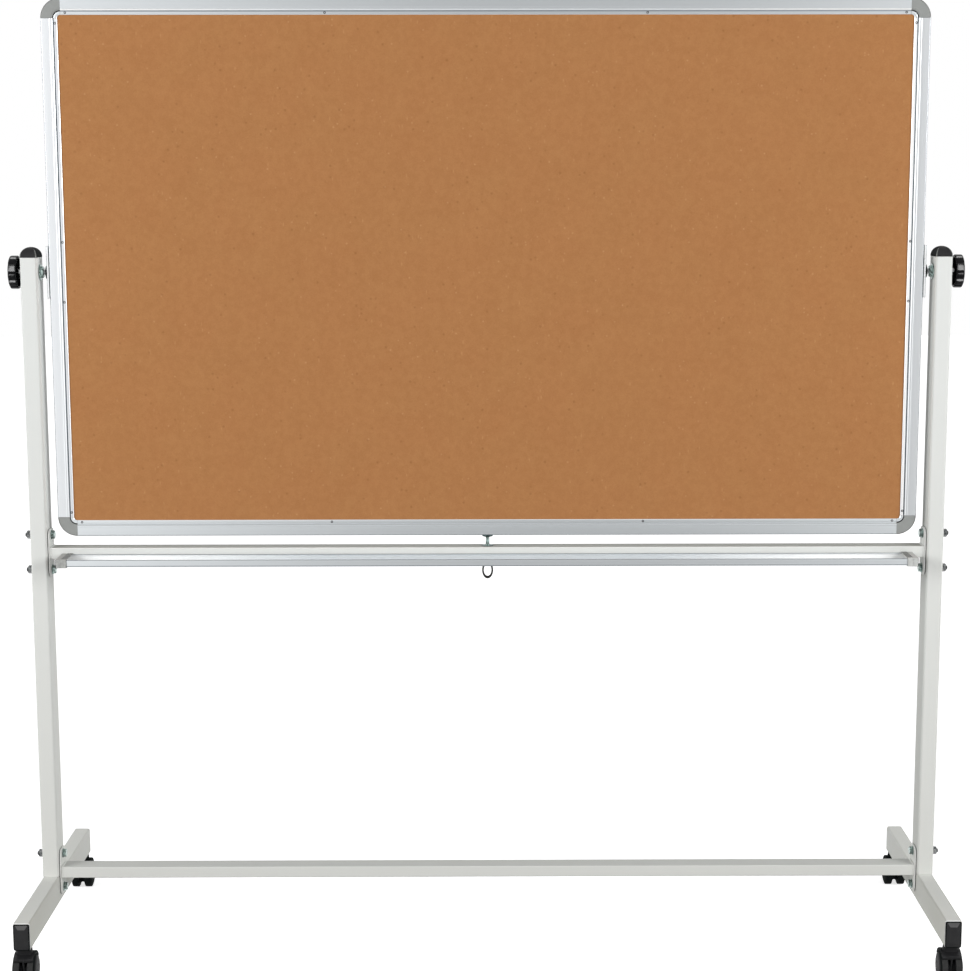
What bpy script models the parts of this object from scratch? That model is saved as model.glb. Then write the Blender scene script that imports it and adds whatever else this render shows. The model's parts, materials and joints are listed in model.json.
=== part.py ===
"""A reversible board on a rolling stand: cork on one face, white steel on the other.

Metres, +Z up. X runs along the board and the cork faces -Y. The origin lies on the
floor under the middle of the stand. Left and right are as seen from the cork side.
"""
import math

import bmesh
import bpy
from mathutils import Matrix, Vector

# Fits between pieces
TOUCH_GAP = 0.0003
RUN_GAP = 0.0005
CUT_OVERRUN = 0.003

# Board panel
BOARD_WIDTH = 1.500
BOARD_HEIGHT = 0.916
BOARD_DEPTH = 0.020
PIVOT_HEIGHT = 1.187
CORK_THICKNESS = 0.0025
CORE_THICKNESS = 0.0092
STEEL_THICKNESS = 0.0007

# Section of the aluminium frame rail, from its outer edge inwards
RAIL_FACE = 0.0276
RAIL_WALL = 0.0014
SLOT_INSET = 0.0150
EDGE_ROUND = 0.0016
BAND_WIDTH = 0.0176
BEVEL_WIDTH = 0.0026
BEVEL_DROP = 0.0013
GROOVE_WIDTH = 0.0020
GROOVE_DEPTH = 0.0024
LIP_DROP = 0.0014
LIP_ROUND = 0.0008

# Plastic frame corners
CORNER_RADIUS = 0.033
CORNER_STEPS = 6
TONGUE_LENGTH = 0.040
TONGUE_ROOT = 0.005

# Catch bushes in the top and bottom rails, for the lock pin
CATCH_FLANGE_RADIUS = 0.010
CATCH_FLANGE_THICKNESS = 0.0032
CATCH_FLANGE_CHAMFER = 0.0016
CATCH_SPIGOT_RADIUS = 0.006
CATCH_SPIGOT_LENGTH = 0.008

# Pivot at each side of the board
PIVOT_PLATE_HEIGHT = 0.0906
PIVOT_PLATE_WIDTH = 0.018
PIVOT_PLATE_THICKNESS = 0.0044
PIVOT_PLATE_ROUND = 0.004
STUD_RADIUS = 0.0049
FRICTION_WASHER_RADIUS = 0.0115
FRICTION_WASHER_THICKNESS = 0.0015
PIVOT_NUT_FLATS = 0.017
PIVOT_NUT_LENGTH = 0.0052
PIVOT_WASHER_RADIUS = 0.0135
PIVOT_WASHER_THICKNESS = 0.0016

# Clamp knobs
KNOB_RADIUS = 0.0285
KNOB_RIM_THICKNESS = 0.0143
KNOB_LOBES = 12
KNOB_GROOVE_DEPTH = 0.0022
KNOB_EDGE_ROUND = 0.0028
KNOB_HUB_LENGTH = 0.0061
KNOB_HUB_RADIUS = 0.013
KNOB_HUB_FLARE = 0.004
KNOB_RECESS_DEPTH = 0.002
KNOB_RECESS_MARGIN = 0.004
KNOB_DISH_DEPTH = 0.0012
KNOB_BORE_DEPTH = 0.0155

# Posts and feet, both of flat oblong tube
POST_GAP = 0.018
POST_WIDTH = 0.029
POST_DEPTH = 0.050
POST_ABOVE_PIVOT = 0.0253
TUBE_WALL = 0.0015
TUBE_ROUND = 0.004
FOOT_LENGTH = 0.5226
FOOT_HEIGHT = 0.048
FOOT_CLEARANCE = 0.065

# Plastic caps on the posts and feet
POST_CAP_HEIGHT = 0.018
POST_CAP_PLUG = 0.014
POST_CAP_STEPS = 6
POST_CAP_BRIM = 0.0012
FOOT_CAP_MARGIN = 0.0012
FOOT_CAP_BRIM = 0.0012
FOOT_CAP_BULGE = 0.0018
FOOT_CAP_SLOPE = 0.0048
FOOT_CAP_PLUG = 0.009

# Crossbars, with the plates welded to their ends
BAR_HEIGHT = 0.020
BAR_DEPTH = 0.037
BAR_WALL = 0.0015
BAR_ROUND = 0.0025
BAR_BELOW_BOARD = 0.020
LOWER_BAR_HEIGHT = 0.119
END_PLATE_HEIGHT = 0.084
END_PLATE_DEPTH = 0.040
END_PLATE_THICKNESS = 0.003
END_PLATE_ROUND = 0.012
VENT_RADIUS = 0.003

# Bolts that hold the end plates to the posts and feet
BOLT_SPREAD = 0.062
BOLT_RADIUS = 0.0039
BOLT_FLATS = 0.013
BOLT_HEAD_LENGTH = 0.0050
BOLT_WASHER_RADIUS = 0.0085
BOLT_WASHER_THICKNESS = 0.0016
NUT_LENGTH = 0.0080
BOLT_TIP_LENGTH = 0.0030
BOLT_TIP_CHAMFER = 0.0010

# Pen tray and its end caps
TRAY_DEPTH = 0.060
TRAY_LIP_HEIGHT = 0.012
TRAY_WALL = 0.0014
TRAY_BEAD = 0.0030
TRAY_BEAD_ANGLES = (180, 135, 90, 45, 0, -45)
TRAY_DROP = 0.011
TRAY_CAP_LENGTH = 0.019
TRAY_CAP_GRIP = 0.010
TRAY_CAP_WALL = 0.0016
TRAY_CAP_END_GAP = 0.022
TRAY_CAP_CHAMFER = 0.003

# Lock pin, its guide, spring and pull ring
PIN_RADIUS = 0.00325
PIN_REST_GAP = 0.0006
PIN_NOSE = 0.0010
COLLAR_RADIUS = 0.0062
COLLAR_THICKNESS = 0.0014
GUIDE_FLANGE_RADIUS = 0.010
GUIDE_FLANGE_THICKNESS = 0.0010
GUIDE_SLEEVE_RADIUS = 0.005
EYE_DROP = 0.0105
EYE_RADIUS = 0.0016
EYE_MARGIN = 0.0022
TANG_THICKNESS = 0.0025
SPRING_COIL_RADIUS = 0.0047
SPRING_WIRE_RADIUS = 0.0005
SPRING_TURNS = 3
SPRING_POINTS = 12
SPRING_SEAT_GAP = 0.0003
RING_WIRE_RADIUS = 0.0010
RING_WIDTH = 0.0194
RING_HEIGHT = 0.0284
RING_POINTS = 26

# Twin-wheel casters
WHEEL_RADIUS = 0.025
WHEEL_WIDTH = 0.0145
WHEEL_SIDES = 24
WHEEL_SHOULDER = 0.0055
WHEEL_DOME = 0.0030
WHEEL_TREAD_ROUND = 0.0012
HUB_DISC_RADIUS = 0.016
HUB_DISC_THICKNESS = 0.0110
HUB_DISC_LEAD = 40.0
HUB_DISC_STEPS = 6
AXLE_RADIUS = 0.0038
AXLE_DEPTH = 0.0105
WHEEL_SIDE_GAP = 0.0005
HOOD_GAP = 0.0012
HOOD_THICKNESS = 0.0022
HOOD_WIDTH = 0.034
HOOD_REAR_ANGLE = 30.0
HOOD_FRONT_ANGLE = 140.0
HOOD_STEPS = 8
CASTER_TRAIL = 0.009
CASTER_FROM_END = 0.0143
STEM_RADIUS = 0.0039
STEM_REACH = 0.020
NECK_RADIUS = 0.007
NECK_SIDES = 12

# Paints, metals and plastics: colour, roughness, metallic
LOOKS = {
    "stand_paint": ((0.72, 0.72, 0.69), 0.42, 0.0),
    "frame_aluminium": ((0.74, 0.76, 0.78), 0.32, 1.0),
    "tray_aluminium": ((0.74, 0.76, 0.78), 0.34, 1.0),
    "corner_plastic": ((0.30, 0.31, 0.30), 0.50, 0.0),
    "black_plastic": ((0.025, 0.025, 0.026), 0.45, 0.0),
    "caster_plastic": ((0.022, 0.022, 0.023), 0.40, 0.0),
    "wheel_plastic": ((0.030, 0.030, 0.031), 0.48, 0.0),
    "friction_plastic": ((0.030, 0.032, 0.032), 0.55, 0.0),
    "cork": ((0.43, 0.20, 0.08), 0.85, 0.0),
    "board_core": ((0.50, 0.38, 0.24), 0.80, 0.0),
    "white_steel": ((0.86, 0.87, 0.87), 0.12, 0.0),
    "zinc_steel": ((0.62, 0.66, 0.66), 0.30, 1.0),
    "pivot_steel": ((0.80, 0.80, 0.80), 0.35, 1.0),
    "spring_steel": ((0.45, 0.45, 0.46), 0.35, 1.0),
    "ring_wire": ((0.030, 0.030, 0.030), 0.35, 0.6),
}

X_AXIS = Vector((1, 0, 0))
Y_AXIS = Vector((0, 1, 0))
Z_AXIS = Vector((0, 0, 1))
SMOOTH_ANGLE = math.radians(38)

# Places that follow from the sizes, in the board's own frame: centred on its pivot
half_width = BOARD_WIDTH / 2
half_height = BOARD_HEIGHT / 2
half_depth = BOARD_DEPTH / 2
panel_depth = CORK_THICKNESS + CORE_THICKNESS + STEEL_THICKNESS + 2 * TOUCH_GAP
slot_half = panel_depth / 2 + TOUCH_GAP

# Places along X, from the board's edge outwards
plate_in = half_width + TOUCH_GAP
plate_out = plate_in + PIVOT_PLATE_THICKNESS
post_in = half_width + POST_GAP
post_out = post_in + POST_WIDTH
post_middle = (post_in + post_out) / 2
knob_back = post_out + RUN_GAP
knob_front = knob_back + KNOB_HUB_LENGTH + KNOB_RIM_THICKNESS
end_plate_out = post_in - TOUCH_GAP
end_plate_in = end_plate_out - END_PLATE_THICKNESS

# Heights above the floor
post_top = PIVOT_HEIGHT + POST_ABOVE_PIVOT
foot_top = FOOT_CLEARANCE + FOOT_HEIGHT
foot_middle = FOOT_CLEARANCE + FOOT_HEIGHT / 2
upper_bar_top = PIVOT_HEIGHT - half_height - BAR_BELOW_BOARD
upper_bar_height = upper_bar_top - BAR_HEIGHT / 2
upper_bar_bottom = upper_bar_top - BAR_HEIGHT
catch_face = half_height + TOUCH_GAP + CATCH_FLANGE_THICKNESS


def clear_scene():
    """Removes what the opened file holds."""
    for item in list(bpy.data.objects):
        bpy.data.objects.remove(item, do_unlink=True)


def make_material(name):
    """A Principled material with the finish's colour, roughness and metallic value."""
    colour, roughness, metallic = LOOKS[name]
    material = bpy.data.materials.new(name)
    material.use_nodes = True
    shader = material.node_tree.nodes["Principled BSDF"]
    shader.inputs["Base Color"].default_value = (*colour, 1)
    shader.inputs["Roughness"].default_value = roughness
    shader.inputs["Metallic"].default_value = metallic
    material.diffuse_color = (*colour, 1)
    return material


def mesh_of(shape, name):
    """Turns a shape into a mesh whose faces point outwards."""
    bmesh.ops.recalc_face_normals(shape, faces=shape.faces)
    mesh = bpy.data.meshes.new(name)
    shape.to_mesh(mesh)
    shape.free()
    return mesh


def put(name, shape, look, location=(0, 0, 0), turn=(0, 0, 0), parent=None):
    """Adds a named piece of one finish; a shape already made a mesh is shared."""
    mesh = shape if isinstance(shape, bpy.types.Mesh) else mesh_of(shape, name)
    mesh.shade_smooth()
    mesh.set_sharp_from_angle(angle=SMOOTH_ANGLE)
    if not mesh.materials:
        mesh.materials.append(make_material(look))
    piece = bpy.data.objects.new(name, mesh)
    bpy.context.scene.collection.objects.link(piece)
    piece.location = location
    piece.rotation_euler = turn
    piece.parent = parent
    return piece


def put_empty(name, location):
    """Adds an empty that carries the pieces of one moving group."""
    carrier = bpy.data.objects.new(name, None)
    bpy.context.scene.collection.objects.link(carrier)
    carrier.location = location
    return carrier


def combine(name, base, add=(), cut=()):
    """Joins and cuts shapes with exact Booleans, and gives the mesh that results."""
    parts = [("base", base)] + [("UNION", s) for s in add] + [("DIFFERENCE", s) for s in cut]
    made = []
    for role, shape in parts:
        item = bpy.data.objects.new(name + "_" + role, mesh_of(shape, name + "_" + role))
        bpy.context.scene.collection.objects.link(item)
        made.append(item)
        if role != "base":
            item.hide_render = True
            item.display_type = "WIRE"
            change = made[0].modifiers.new(role, "BOOLEAN")
            change.operation = role
            change.solver = "EXACT"
            change.object = item
    bpy.context.view_layer.update()
    seen = made[0].evaluated_get(bpy.context.evaluated_depsgraph_get())
    result = bpy.data.meshes.new_from_object(seen)
    result.name = name
    for item in made:
        bpy.data.objects.remove(item, do_unlink=True)
    return result


def prism(loops, along, start, end, across=None, up=None):
    """Sweeps an outline, and any holes in it, straight from start to end along an axis."""
    across = across or (Y_AXIS if along == X_AXIS else X_AXIS)
    up = up or (Y_AXIS if along == Z_AXIS else Z_AXIS)
    shape = bmesh.new()
    edges = []
    for loop in loops:
        ring = [shape.verts.new(along * start + across * a + up * b) for a, b in loop]
        edges += [shape.edges.new((ring[i - 1], ring[i])) for i in range(len(ring))]
    bmesh.ops.triangle_fill(shape, use_beauty=True, use_dissolve=False, edges=edges)
    swept = bmesh.ops.extrude_face_region(shape, geom=shape.faces[:])
    moved = [item for item in swept["geom"] if isinstance(item, bmesh.types.BMVert)]
    bmesh.ops.translate(shape, verts=moved, vec=along * (end - start))
    return shape


def loft(rings, closed=False):
    """Skins a row of equal rings; a closed row runs back to its first ring."""
    shape = bmesh.new()
    rows = [[shape.verts.new(point) for point in ring] for ring in rings]
    count = len(rows[0])
    pairs = list(zip(rows, rows[1:])) + ([(rows[-1], rows[0])] if closed else [])
    for low, high in pairs:
        for i in range(count):
            shape.faces.new((low[i - 1], low[i], high[i], high[i - 1]))
    if not closed:
        for row in (rows[0], rows[-1]):
            edges = [shape.edges.get((row[i - 1], row[i])) for i in range(count)]
            bmesh.ops.triangle_fill(shape, use_beauty=True, use_dissolve=False, edges=edges)
    return shape


def lathe(profile, along, sides=24, closed=False, first_share=0.0):
    """Spins a profile of (radius, place along the axis) round an axis."""
    shape = bmesh.new()
    points = [shape.verts.new((radius, 0, place)) for radius, place in profile]
    pairs = list(zip(points, points[1:])) + ([(points[-1], points[0])] if closed else [])
    edges = [shape.edges.new(pair) for pair in pairs]
    start = Matrix.Rotation(first_share * math.tau / sides, 4, "Z")
    bmesh.ops.transform(shape, matrix=start, verts=points)
    bmesh.ops.spin(shape, geom=points + edges, axis=Z_AXIS, cent=(0, 0, 0), angle=math.tau,
                   steps=sides, use_merge=True)
    bmesh.ops.remove_doubles(shape, verts=shape.verts, dist=TOUCH_GAP / 10)
    turn = Z_AXIS.rotation_difference(along).to_matrix().to_4x4()
    bmesh.ops.transform(shape, matrix=turn, verts=shape.verts)
    return shape


def moved(shape, offset):
    """Moves a shape and hands it back."""
    bmesh.ops.translate(shape, verts=shape.verts, vec=offset)
    return shape


def rounded_rectangle(width, height, radius, steps=3, centre=(0, 0)):
    """Points of a rectangle with round corners."""
    points = []
    for quarter, (side_x, side_y) in enumerate(((1, 1), (-1, 1), (-1, -1), (1, -1))):
        for step in range(steps + 1):
            angle = math.radians(90) * (quarter + step / steps)
            points.append((centre[0] + side_x * (width / 2 - radius) + radius * math.cos(angle),
                           centre[1] + side_y * (height / 2 - radius) + radius * math.sin(angle)))
    return points


def circle(radius, sides, centre=(0, 0)):
    """Points of a circle."""
    turn = math.tau / sides
    angles = [(i + 0.5) * turn for i in range(sides)]
    return [(centre[0] + radius * math.cos(a), centre[1] + radius * math.sin(a)) for a in angles]


def rod(radius, along, start, end, sides=16, offset=(0, 0, 0)):
    """A plain round bar, used to join and to drill."""
    return moved(prism([circle(radius, sides)], along, start, end), offset)


def rail_section():
    """Outline of the frame rail as (inwards, forwards), front half and its mirror."""
    bevel_end = BAND_WIDTH + BEVEL_WIDTH
    groove_end = bevel_end + GROOVE_WIDTH
    lip = half_depth - LIP_DROP
    front = []
    for degrees in (0, 45, 90):
        angle = math.radians(degrees)
        front.append((EDGE_ROUND - EDGE_ROUND * math.cos(angle),
                      half_depth - EDGE_ROUND + EDGE_ROUND * math.sin(angle)))
    front += [
        (BAND_WIDTH, half_depth),
        (bevel_end, half_depth - BEVEL_DROP),
        (bevel_end, half_depth - GROOVE_DEPTH),
        (groove_end, half_depth - GROOVE_DEPTH),
        (groove_end, lip),
        (RAIL_FACE - LIP_ROUND, lip),
        (RAIL_FACE, lip - LIP_ROUND),
        (RAIL_FACE, slot_half),
        (SLOT_INSET, slot_half),
    ]
    return front + [(inwards, -forwards) for inwards, forwards in reversed(front)]


def rail_chamber(clearance=0.0):
    """The hollow beside the slot, which takes the corner's tongue."""
    low = RAIL_WALL + clearance
    high = SLOT_INSET - RAIL_WALL - clearance
    side = half_depth - RAIL_WALL - clearance
    return [(low, -side), (high, -side), (high, side), (low, side)]


def rail(along, length, edge, inwards, cut=()):
    """One length of the frame rail, its outer edge at a given place."""
    reach = length / 2 - CORNER_RADIUS - TOUCH_GAP
    shape = prism([rail_section(), rail_chamber()], along, -reach, reach, inwards, -Y_AXIS)
    moved(shape, -inwards * edge)
    return combine("rail", shape, cut=cut) if cut else shape


def frame_corner():
    """The rail's section turned round the corner, with a tongue for each rail."""
    rings = []
    for step in range(CORNER_STEPS + 1):
        angle = math.radians(90) * step / CORNER_STEPS
        outwards = Vector((math.cos(angle), 0, math.sin(angle)))
        rings.append([outwards * (CORNER_RADIUS - inwards) - Y_AXIS * forwards
                      for inwards, forwards in rail_section()])
    tongue = rail_chamber(TOUCH_GAP)
    upright = prism([tongue], Z_AXIS, TONGUE_ROOT, -TONGUE_LENGTH, -X_AXIS, -Y_AXIS)
    level = prism([tongue], X_AXIS, TONGUE_ROOT, -TONGUE_LENGTH, -Z_AXIS, -Y_AXIS)
    moved(upright, X_AXIS * CORNER_RADIUS)
    moved(level, Z_AXIS * CORNER_RADIUS)
    return combine("frame_corner", loft(rings), add=(upright, level))


def panel_sheet(front, thickness):
    """A sheet of the panel, cut to fit the frame's slot."""
    inset = SLOT_INSET + TOUCH_GAP
    outline = rounded_rectangle(BOARD_WIDTH - 2 * inset, BOARD_HEIGHT - 2 * inset,
                                CORNER_RADIUS - inset, steps=4)
    return prism([outline], Y_AXIS, front, front + thickness)


def catch_bush():
    """A flanged bush in the rail's edge; its bore takes the lock pin. Flange face down."""
    bore = PIN_RADIUS + RUN_GAP
    rim = CATCH_FLANGE_THICKNESS - CATCH_FLANGE_CHAMFER
    return lathe([
        (bore, 0),
        (CATCH_FLANGE_RADIUS - CATCH_FLANGE_CHAMFER, 0),
        (CATCH_FLANGE_RADIUS, rim),
        (CATCH_FLANGE_RADIUS, CATCH_FLANGE_THICKNESS),
        (CATCH_SPIGOT_RADIUS, CATCH_FLANGE_THICKNESS),
        (CATCH_SPIGOT_RADIUS, CATCH_FLANGE_THICKNESS + CATCH_SPIGOT_LENGTH),
        (bore, CATCH_FLANGE_THICKNESS + CATCH_SPIGOT_LENGTH),
    ], Z_AXIS, sides=16, closed=True)


def pivot_plate():
    """The plate on the board's edge with its stud, pointing along +X from the board."""
    outline = rounded_rectangle(PIVOT_PLATE_WIDTH, PIVOT_PLATE_HEIGHT, PIVOT_PLATE_ROUND)
    plate = prism([outline], X_AXIS, plate_in, plate_out)
    stud_end = knob_back + KNOB_BORE_DEPTH - RUN_GAP
    stud = rod(STUD_RADIUS, X_AXIS, (plate_in + plate_out) / 2, stud_end)
    return combine("pivot_plate", plate, add=(stud,))


def hexagon_radius(flats, angle):
    """Distance to the side of a hexagon, which is flats wide, in a direction."""
    sector = math.radians(60)
    return flats / 2 / math.cos(angle % sector - sector / 2)


def stacked_rings(levels, sides):
    """Rings along X: each level is (place, size, shape), with round or hexagon shapes."""
    rings = []
    for place, size, form in levels:
        ring = []
        for i in range(sides):
            angle = math.tau * i / sides
            radius = hexagon_radius(size, angle) if form == "hexagon" else size
            ring.append((place, radius * math.cos(angle), radius * math.sin(angle)))
        rings.append(ring)
    return rings


def pivot_nut():
    """The zinc nut and the wide washer against the post, in one, round the stud."""
    bore = STUD_RADIUS + TOUCH_GAP
    washer_out = post_in - RUN_GAP
    washer_in = washer_out - PIVOT_WASHER_THICKNESS
    nut_in = washer_in - PIVOT_NUT_LENGTH
    levels = [
        (nut_in, bore, "round"),
        (nut_in, PIVOT_NUT_FLATS, "hexagon"),
        (washer_in, PIVOT_NUT_FLATS, "hexagon"),
        (washer_in, PIVOT_WASHER_RADIUS, "round"),
        (washer_out, PIVOT_WASHER_RADIUS, "round"),
        (washer_out, bore, "round"),
    ]
    return loft(stacked_rings(levels, 12), closed=True)


def friction_washer():
    """The dark washer between the plate and the nut."""
    washer_in = plate_out + TOUCH_GAP
    washer_out = washer_in + FRICTION_WASHER_THICKNESS
    bore = STUD_RADIUS + TOUCH_GAP
    return lathe([(bore, washer_in), (FRICTION_WASHER_RADIUS, washer_in),
                  (FRICTION_WASHER_RADIUS, washer_out), (bore, washer_out)], X_AXIS, closed=True)


def knob():
    """A lobed hand wheel along +X from its back face: hub, recessed back, rim and dished front."""
    rim_back = KNOB_HUB_LENGTH
    rim_front = KNOB_HUB_LENGTH + KNOB_RIM_THICKNESS
    recess_edge = KNOB_RADIUS - KNOB_RECESS_MARGIN
    rounded = KNOB_RADIUS - KNOB_EDGE_ROUND
    levels = [
        (KNOB_BORE_DEPTH, STUD_RADIUS + RUN_GAP, 0),
        (0, STUD_RADIUS + RUN_GAP, 0),
        (0, KNOB_HUB_RADIUS, 0),
        (rim_back + KNOB_RECESS_DEPTH, KNOB_HUB_RADIUS + KNOB_HUB_FLARE, 0),
        (rim_back + KNOB_RECESS_DEPTH, recess_edge - KNOB_RECESS_DEPTH, 0),
        (rim_back, recess_edge, KNOB_GROOVE_DEPTH / 2),
        (rim_back + KNOB_EDGE_ROUND, KNOB_RADIUS, KNOB_GROOVE_DEPTH),
        (rim_front - KNOB_EDGE_ROUND, KNOB_RADIUS, KNOB_GROOVE_DEPTH),
        (rim_front, rounded, KNOB_GROOVE_DEPTH / 2),
        (rim_front - KNOB_DISH_DEPTH, recess_edge - KNOB_RECESS_DEPTH, 0),
    ]
    lobe_shares = ((0.0, 1.0), (0.17, 0.0), (0.5, 0.0), (0.83, 0.0))
    rings = []
    for place, radius, groove in levels:
        ring = []
        for lobe in range(KNOB_LOBES):
            for share, depth_share in lobe_shares:
                angle = math.tau * (lobe + share) / KNOB_LOBES
                reach = radius - groove * depth_share
                ring.append((place, reach * math.cos(angle), reach * math.sin(angle)))
        rings.append(ring)
    return loft(rings)


def tube_loops(width, height, wall, radius, steps=3):
    """Outline and hollow of an oblong tube."""
    return [rounded_rectangle(width, height, radius, steps),
            rounded_rectangle(width - 2 * wall, height - 2 * wall, radius - wall, steps)]


def bolt_heights(bar_height):
    """Heights of the two bolts of a crossbar's end plate."""
    return bar_height - BOLT_SPREAD / 2, bar_height + BOLT_SPREAD / 2


def drill(radius, height, sides=16):
    """A hole through a post or foot, along X, in a mesh centred on the tube."""
    reach = POST_WIDTH / 2 + CUT_OVERRUN
    return rod(radius, X_AXIS, -reach, reach, sides, offset=Z_AXIS * height)


def post():
    """The upright tube, from the foot to the cap, drilled for the pivot and the bolts."""
    loops = tube_loops(POST_WIDTH, POST_DEPTH, TUBE_WALL, TUBE_ROUND)
    tube = prism(loops, Z_AXIS, foot_top + TOUCH_GAP, post_top)
    holes = [drill(STUD_RADIUS + RUN_GAP, PIVOT_HEIGHT)]
    for height in (*bolt_heights(upper_bar_height), bolt_heights(LOWER_BAR_HEIGHT)[1]):
        holes.append(drill(BOLT_RADIUS + TOUCH_GAP, height, sides=12))
    return combine("post", tube, cut=holes)


def foot():
    """The level tube on the floor side, drilled for a bolt and for two caster stems."""
    loops = tube_loops(POST_WIDTH, FOOT_HEIGHT, TUBE_WALL, TUBE_ROUND)
    tube = moved(prism(loops, Y_AXIS, -FOOT_LENGTH / 2, FOOT_LENGTH / 2), Z_AXIS * foot_middle)
    holes = [drill(BOLT_RADIUS + TOUCH_GAP, bolt_heights(LOWER_BAR_HEIGHT)[0], sides=12)]
    stem_low = FOOT_CLEARANCE - CUT_OVERRUN
    stem_high = FOOT_CLEARANCE + TUBE_WALL + CUT_OVERRUN
    for side in (-1, 1):
        place = Y_AXIS * side * caster_place()
        holes.append(rod(STEM_RADIUS + RUN_GAP, Z_AXIS, stem_low, stem_high, offset=place))
    return combine("foot", tube, cut=holes)


def caster_place():
    """How far each caster's swivel lies from the middle of the foot."""
    return FOOT_LENGTH / 2 - CASTER_FROM_END


def vault_rings(width, depth, height, steps):
    """Rings of an oblong dome whose four faces meet in curved hips."""
    rings = []
    for step in range(steps + 1):
        angle = math.radians(90) * step / (steps + 1)
        share = math.cos(angle)
        outline = rounded_rectangle(width * share, depth * share, TUBE_ROUND * share, steps=1)
        rings.append([(x, y, height * math.sin(angle)) for x, y in outline])
    return rings


def post_cap():
    """A domed cap on the post's end, with a plug inside the tube."""
    plug_width = POST_WIDTH - 2 * TUBE_WALL - 2 * TOUCH_GAP
    plug_depth = POST_DEPTH - 2 * TUBE_WALL - 2 * TOUCH_GAP
    plug = rounded_rectangle(plug_width, plug_depth, TUBE_ROUND - TUBE_WALL, steps=1)
    brim = rounded_rectangle(POST_WIDTH, POST_DEPTH, TUBE_ROUND, steps=1)
    rings = [
        [(x, y, -POST_CAP_PLUG) for x, y in plug],
        [(x, y, 0) for x, y in plug],
        [(x, y, 0) for x, y in brim],
    ]
    dome = vault_rings(POST_WIDTH, POST_DEPTH, POST_CAP_HEIGHT - POST_CAP_BRIM, POST_CAP_STEPS)
    rings += [[(x, y, z + POST_CAP_BRIM) for x, y, z in ring] for ring in dome]
    return loft(rings)


def foot_cap():
    """A bevelled plug for the foot's end, outer face towards -Y."""
    inner_width = POST_WIDTH - 2 * TUBE_WALL - 2 * TOUCH_GAP
    inner_height = FOOT_HEIGHT - 2 * TUBE_WALL - 2 * TOUCH_GAP
    plug = rounded_rectangle(inner_width, inner_height, TUBE_ROUND - TUBE_WALL, steps=1)
    brim_width = POST_WIDTH - 2 * FOOT_CAP_MARGIN
    brim_height = FOOT_HEIGHT - 2 * FOOT_CAP_MARGIN
    brim = rounded_rectangle(brim_width, brim_height, TUBE_ROUND - FOOT_CAP_MARGIN, steps=1)
    face = rounded_rectangle(brim_width - 2 * FOOT_CAP_SLOPE, brim_height - 2 * FOOT_CAP_SLOPE,
                             TUBE_ROUND - FOOT_CAP_MARGIN, steps=1)
    bulge = FOOT_CAP_BRIM + FOOT_CAP_BULGE
    return loft([
        [(x, FOOT_CAP_PLUG, z) for x, z in plug],
        [(x, 0, z) for x, z in plug],
        [(x, 0, z) for x, z in brim],
        [(x, -FOOT_CAP_BRIM, z) for x, z in brim],
        [(x, -bulge, z) for x, z in face],
    ])


def crossbar(drilled):
    """An oblong tube with a drilled plate welded on each end; the upper one takes the lock."""
    reach = (end_plate_in + end_plate_out) / 2
    tube = prism(tube_loops(BAR_DEPTH, BAR_HEIGHT, BAR_WALL, BAR_ROUND, steps=2),
                 X_AXIS, -reach, reach)
    bolt_hole = BOLT_RADIUS + TOUCH_GAP
    loops = [rounded_rectangle(END_PLATE_DEPTH, END_PLATE_HEIGHT, END_PLATE_ROUND, steps=4),
             circle(VENT_RADIUS, 8),
             circle(bolt_hole, 12, centre=(0, BOLT_SPREAD / 2)),
             circle(bolt_hole, 12, centre=(0, -BOLT_SPREAD / 2))]
    plates = [prism(loops, X_AXIS, side * end_plate_in, side * end_plate_out) for side in (-1, 1)]
    holes = []
    if drilled:
        half = BAR_HEIGHT / 2
        holes = [rod(GUIDE_SLEEVE_RADIUS + TOUCH_GAP, Z_AXIS, 0, half + CUT_OVERRUN),
                 rod(PIN_RADIUS + RUN_GAP, Z_AXIS, -half - CUT_OVERRUN, 0)]
    return combine("crossbar", tube, add=plates, cut=holes)


def bolt():
    """A bolt along +X from the end plate's inner face: head, washer, shank, nut and tip."""
    seat = -TOUCH_GAP
    head = seat - BOLT_WASHER_THICKNESS
    washer_in = END_PLATE_THICKNESS + TOUCH_GAP + POST_WIDTH + TOUCH_GAP
    nut_in = washer_in + BOLT_WASHER_THICKNESS
    nut_out = nut_in + NUT_LENGTH
    tip = nut_out + BOLT_TIP_LENGTH
    levels = [
        (head - BOLT_HEAD_LENGTH, BOLT_FLATS / 2, "round"),
        (head - BOLT_HEAD_LENGTH + BOLT_TIP_CHAMFER, BOLT_FLATS, "hexagon"),
        (head, BOLT_FLATS, "hexagon"),
        (head, BOLT_WASHER_RADIUS, "round"),
        (seat, BOLT_WASHER_RADIUS, "round"),
        (seat, BOLT_RADIUS, "round"),
        (washer_in, BOLT_RADIUS, "round"),
        (washer_in, BOLT_WASHER_RADIUS, "round"),
        (nut_in, BOLT_WASHER_RADIUS, "round"),
        (nut_in, BOLT_FLATS, "hexagon"),
        (nut_out - BOLT_TIP_CHAMFER, BOLT_FLATS, "hexagon"),
        (nut_out, BOLT_FLATS / 2, "round"),
        (nut_out, BOLT_RADIUS, "round"),
        (tip - BOLT_TIP_CHAMFER, BOLT_RADIUS, "round"),
        (tip, BOLT_RADIUS - BOLT_TIP_CHAMFER, "round"),
    ]
    return loft(stacked_rings(levels, 12))


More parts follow.
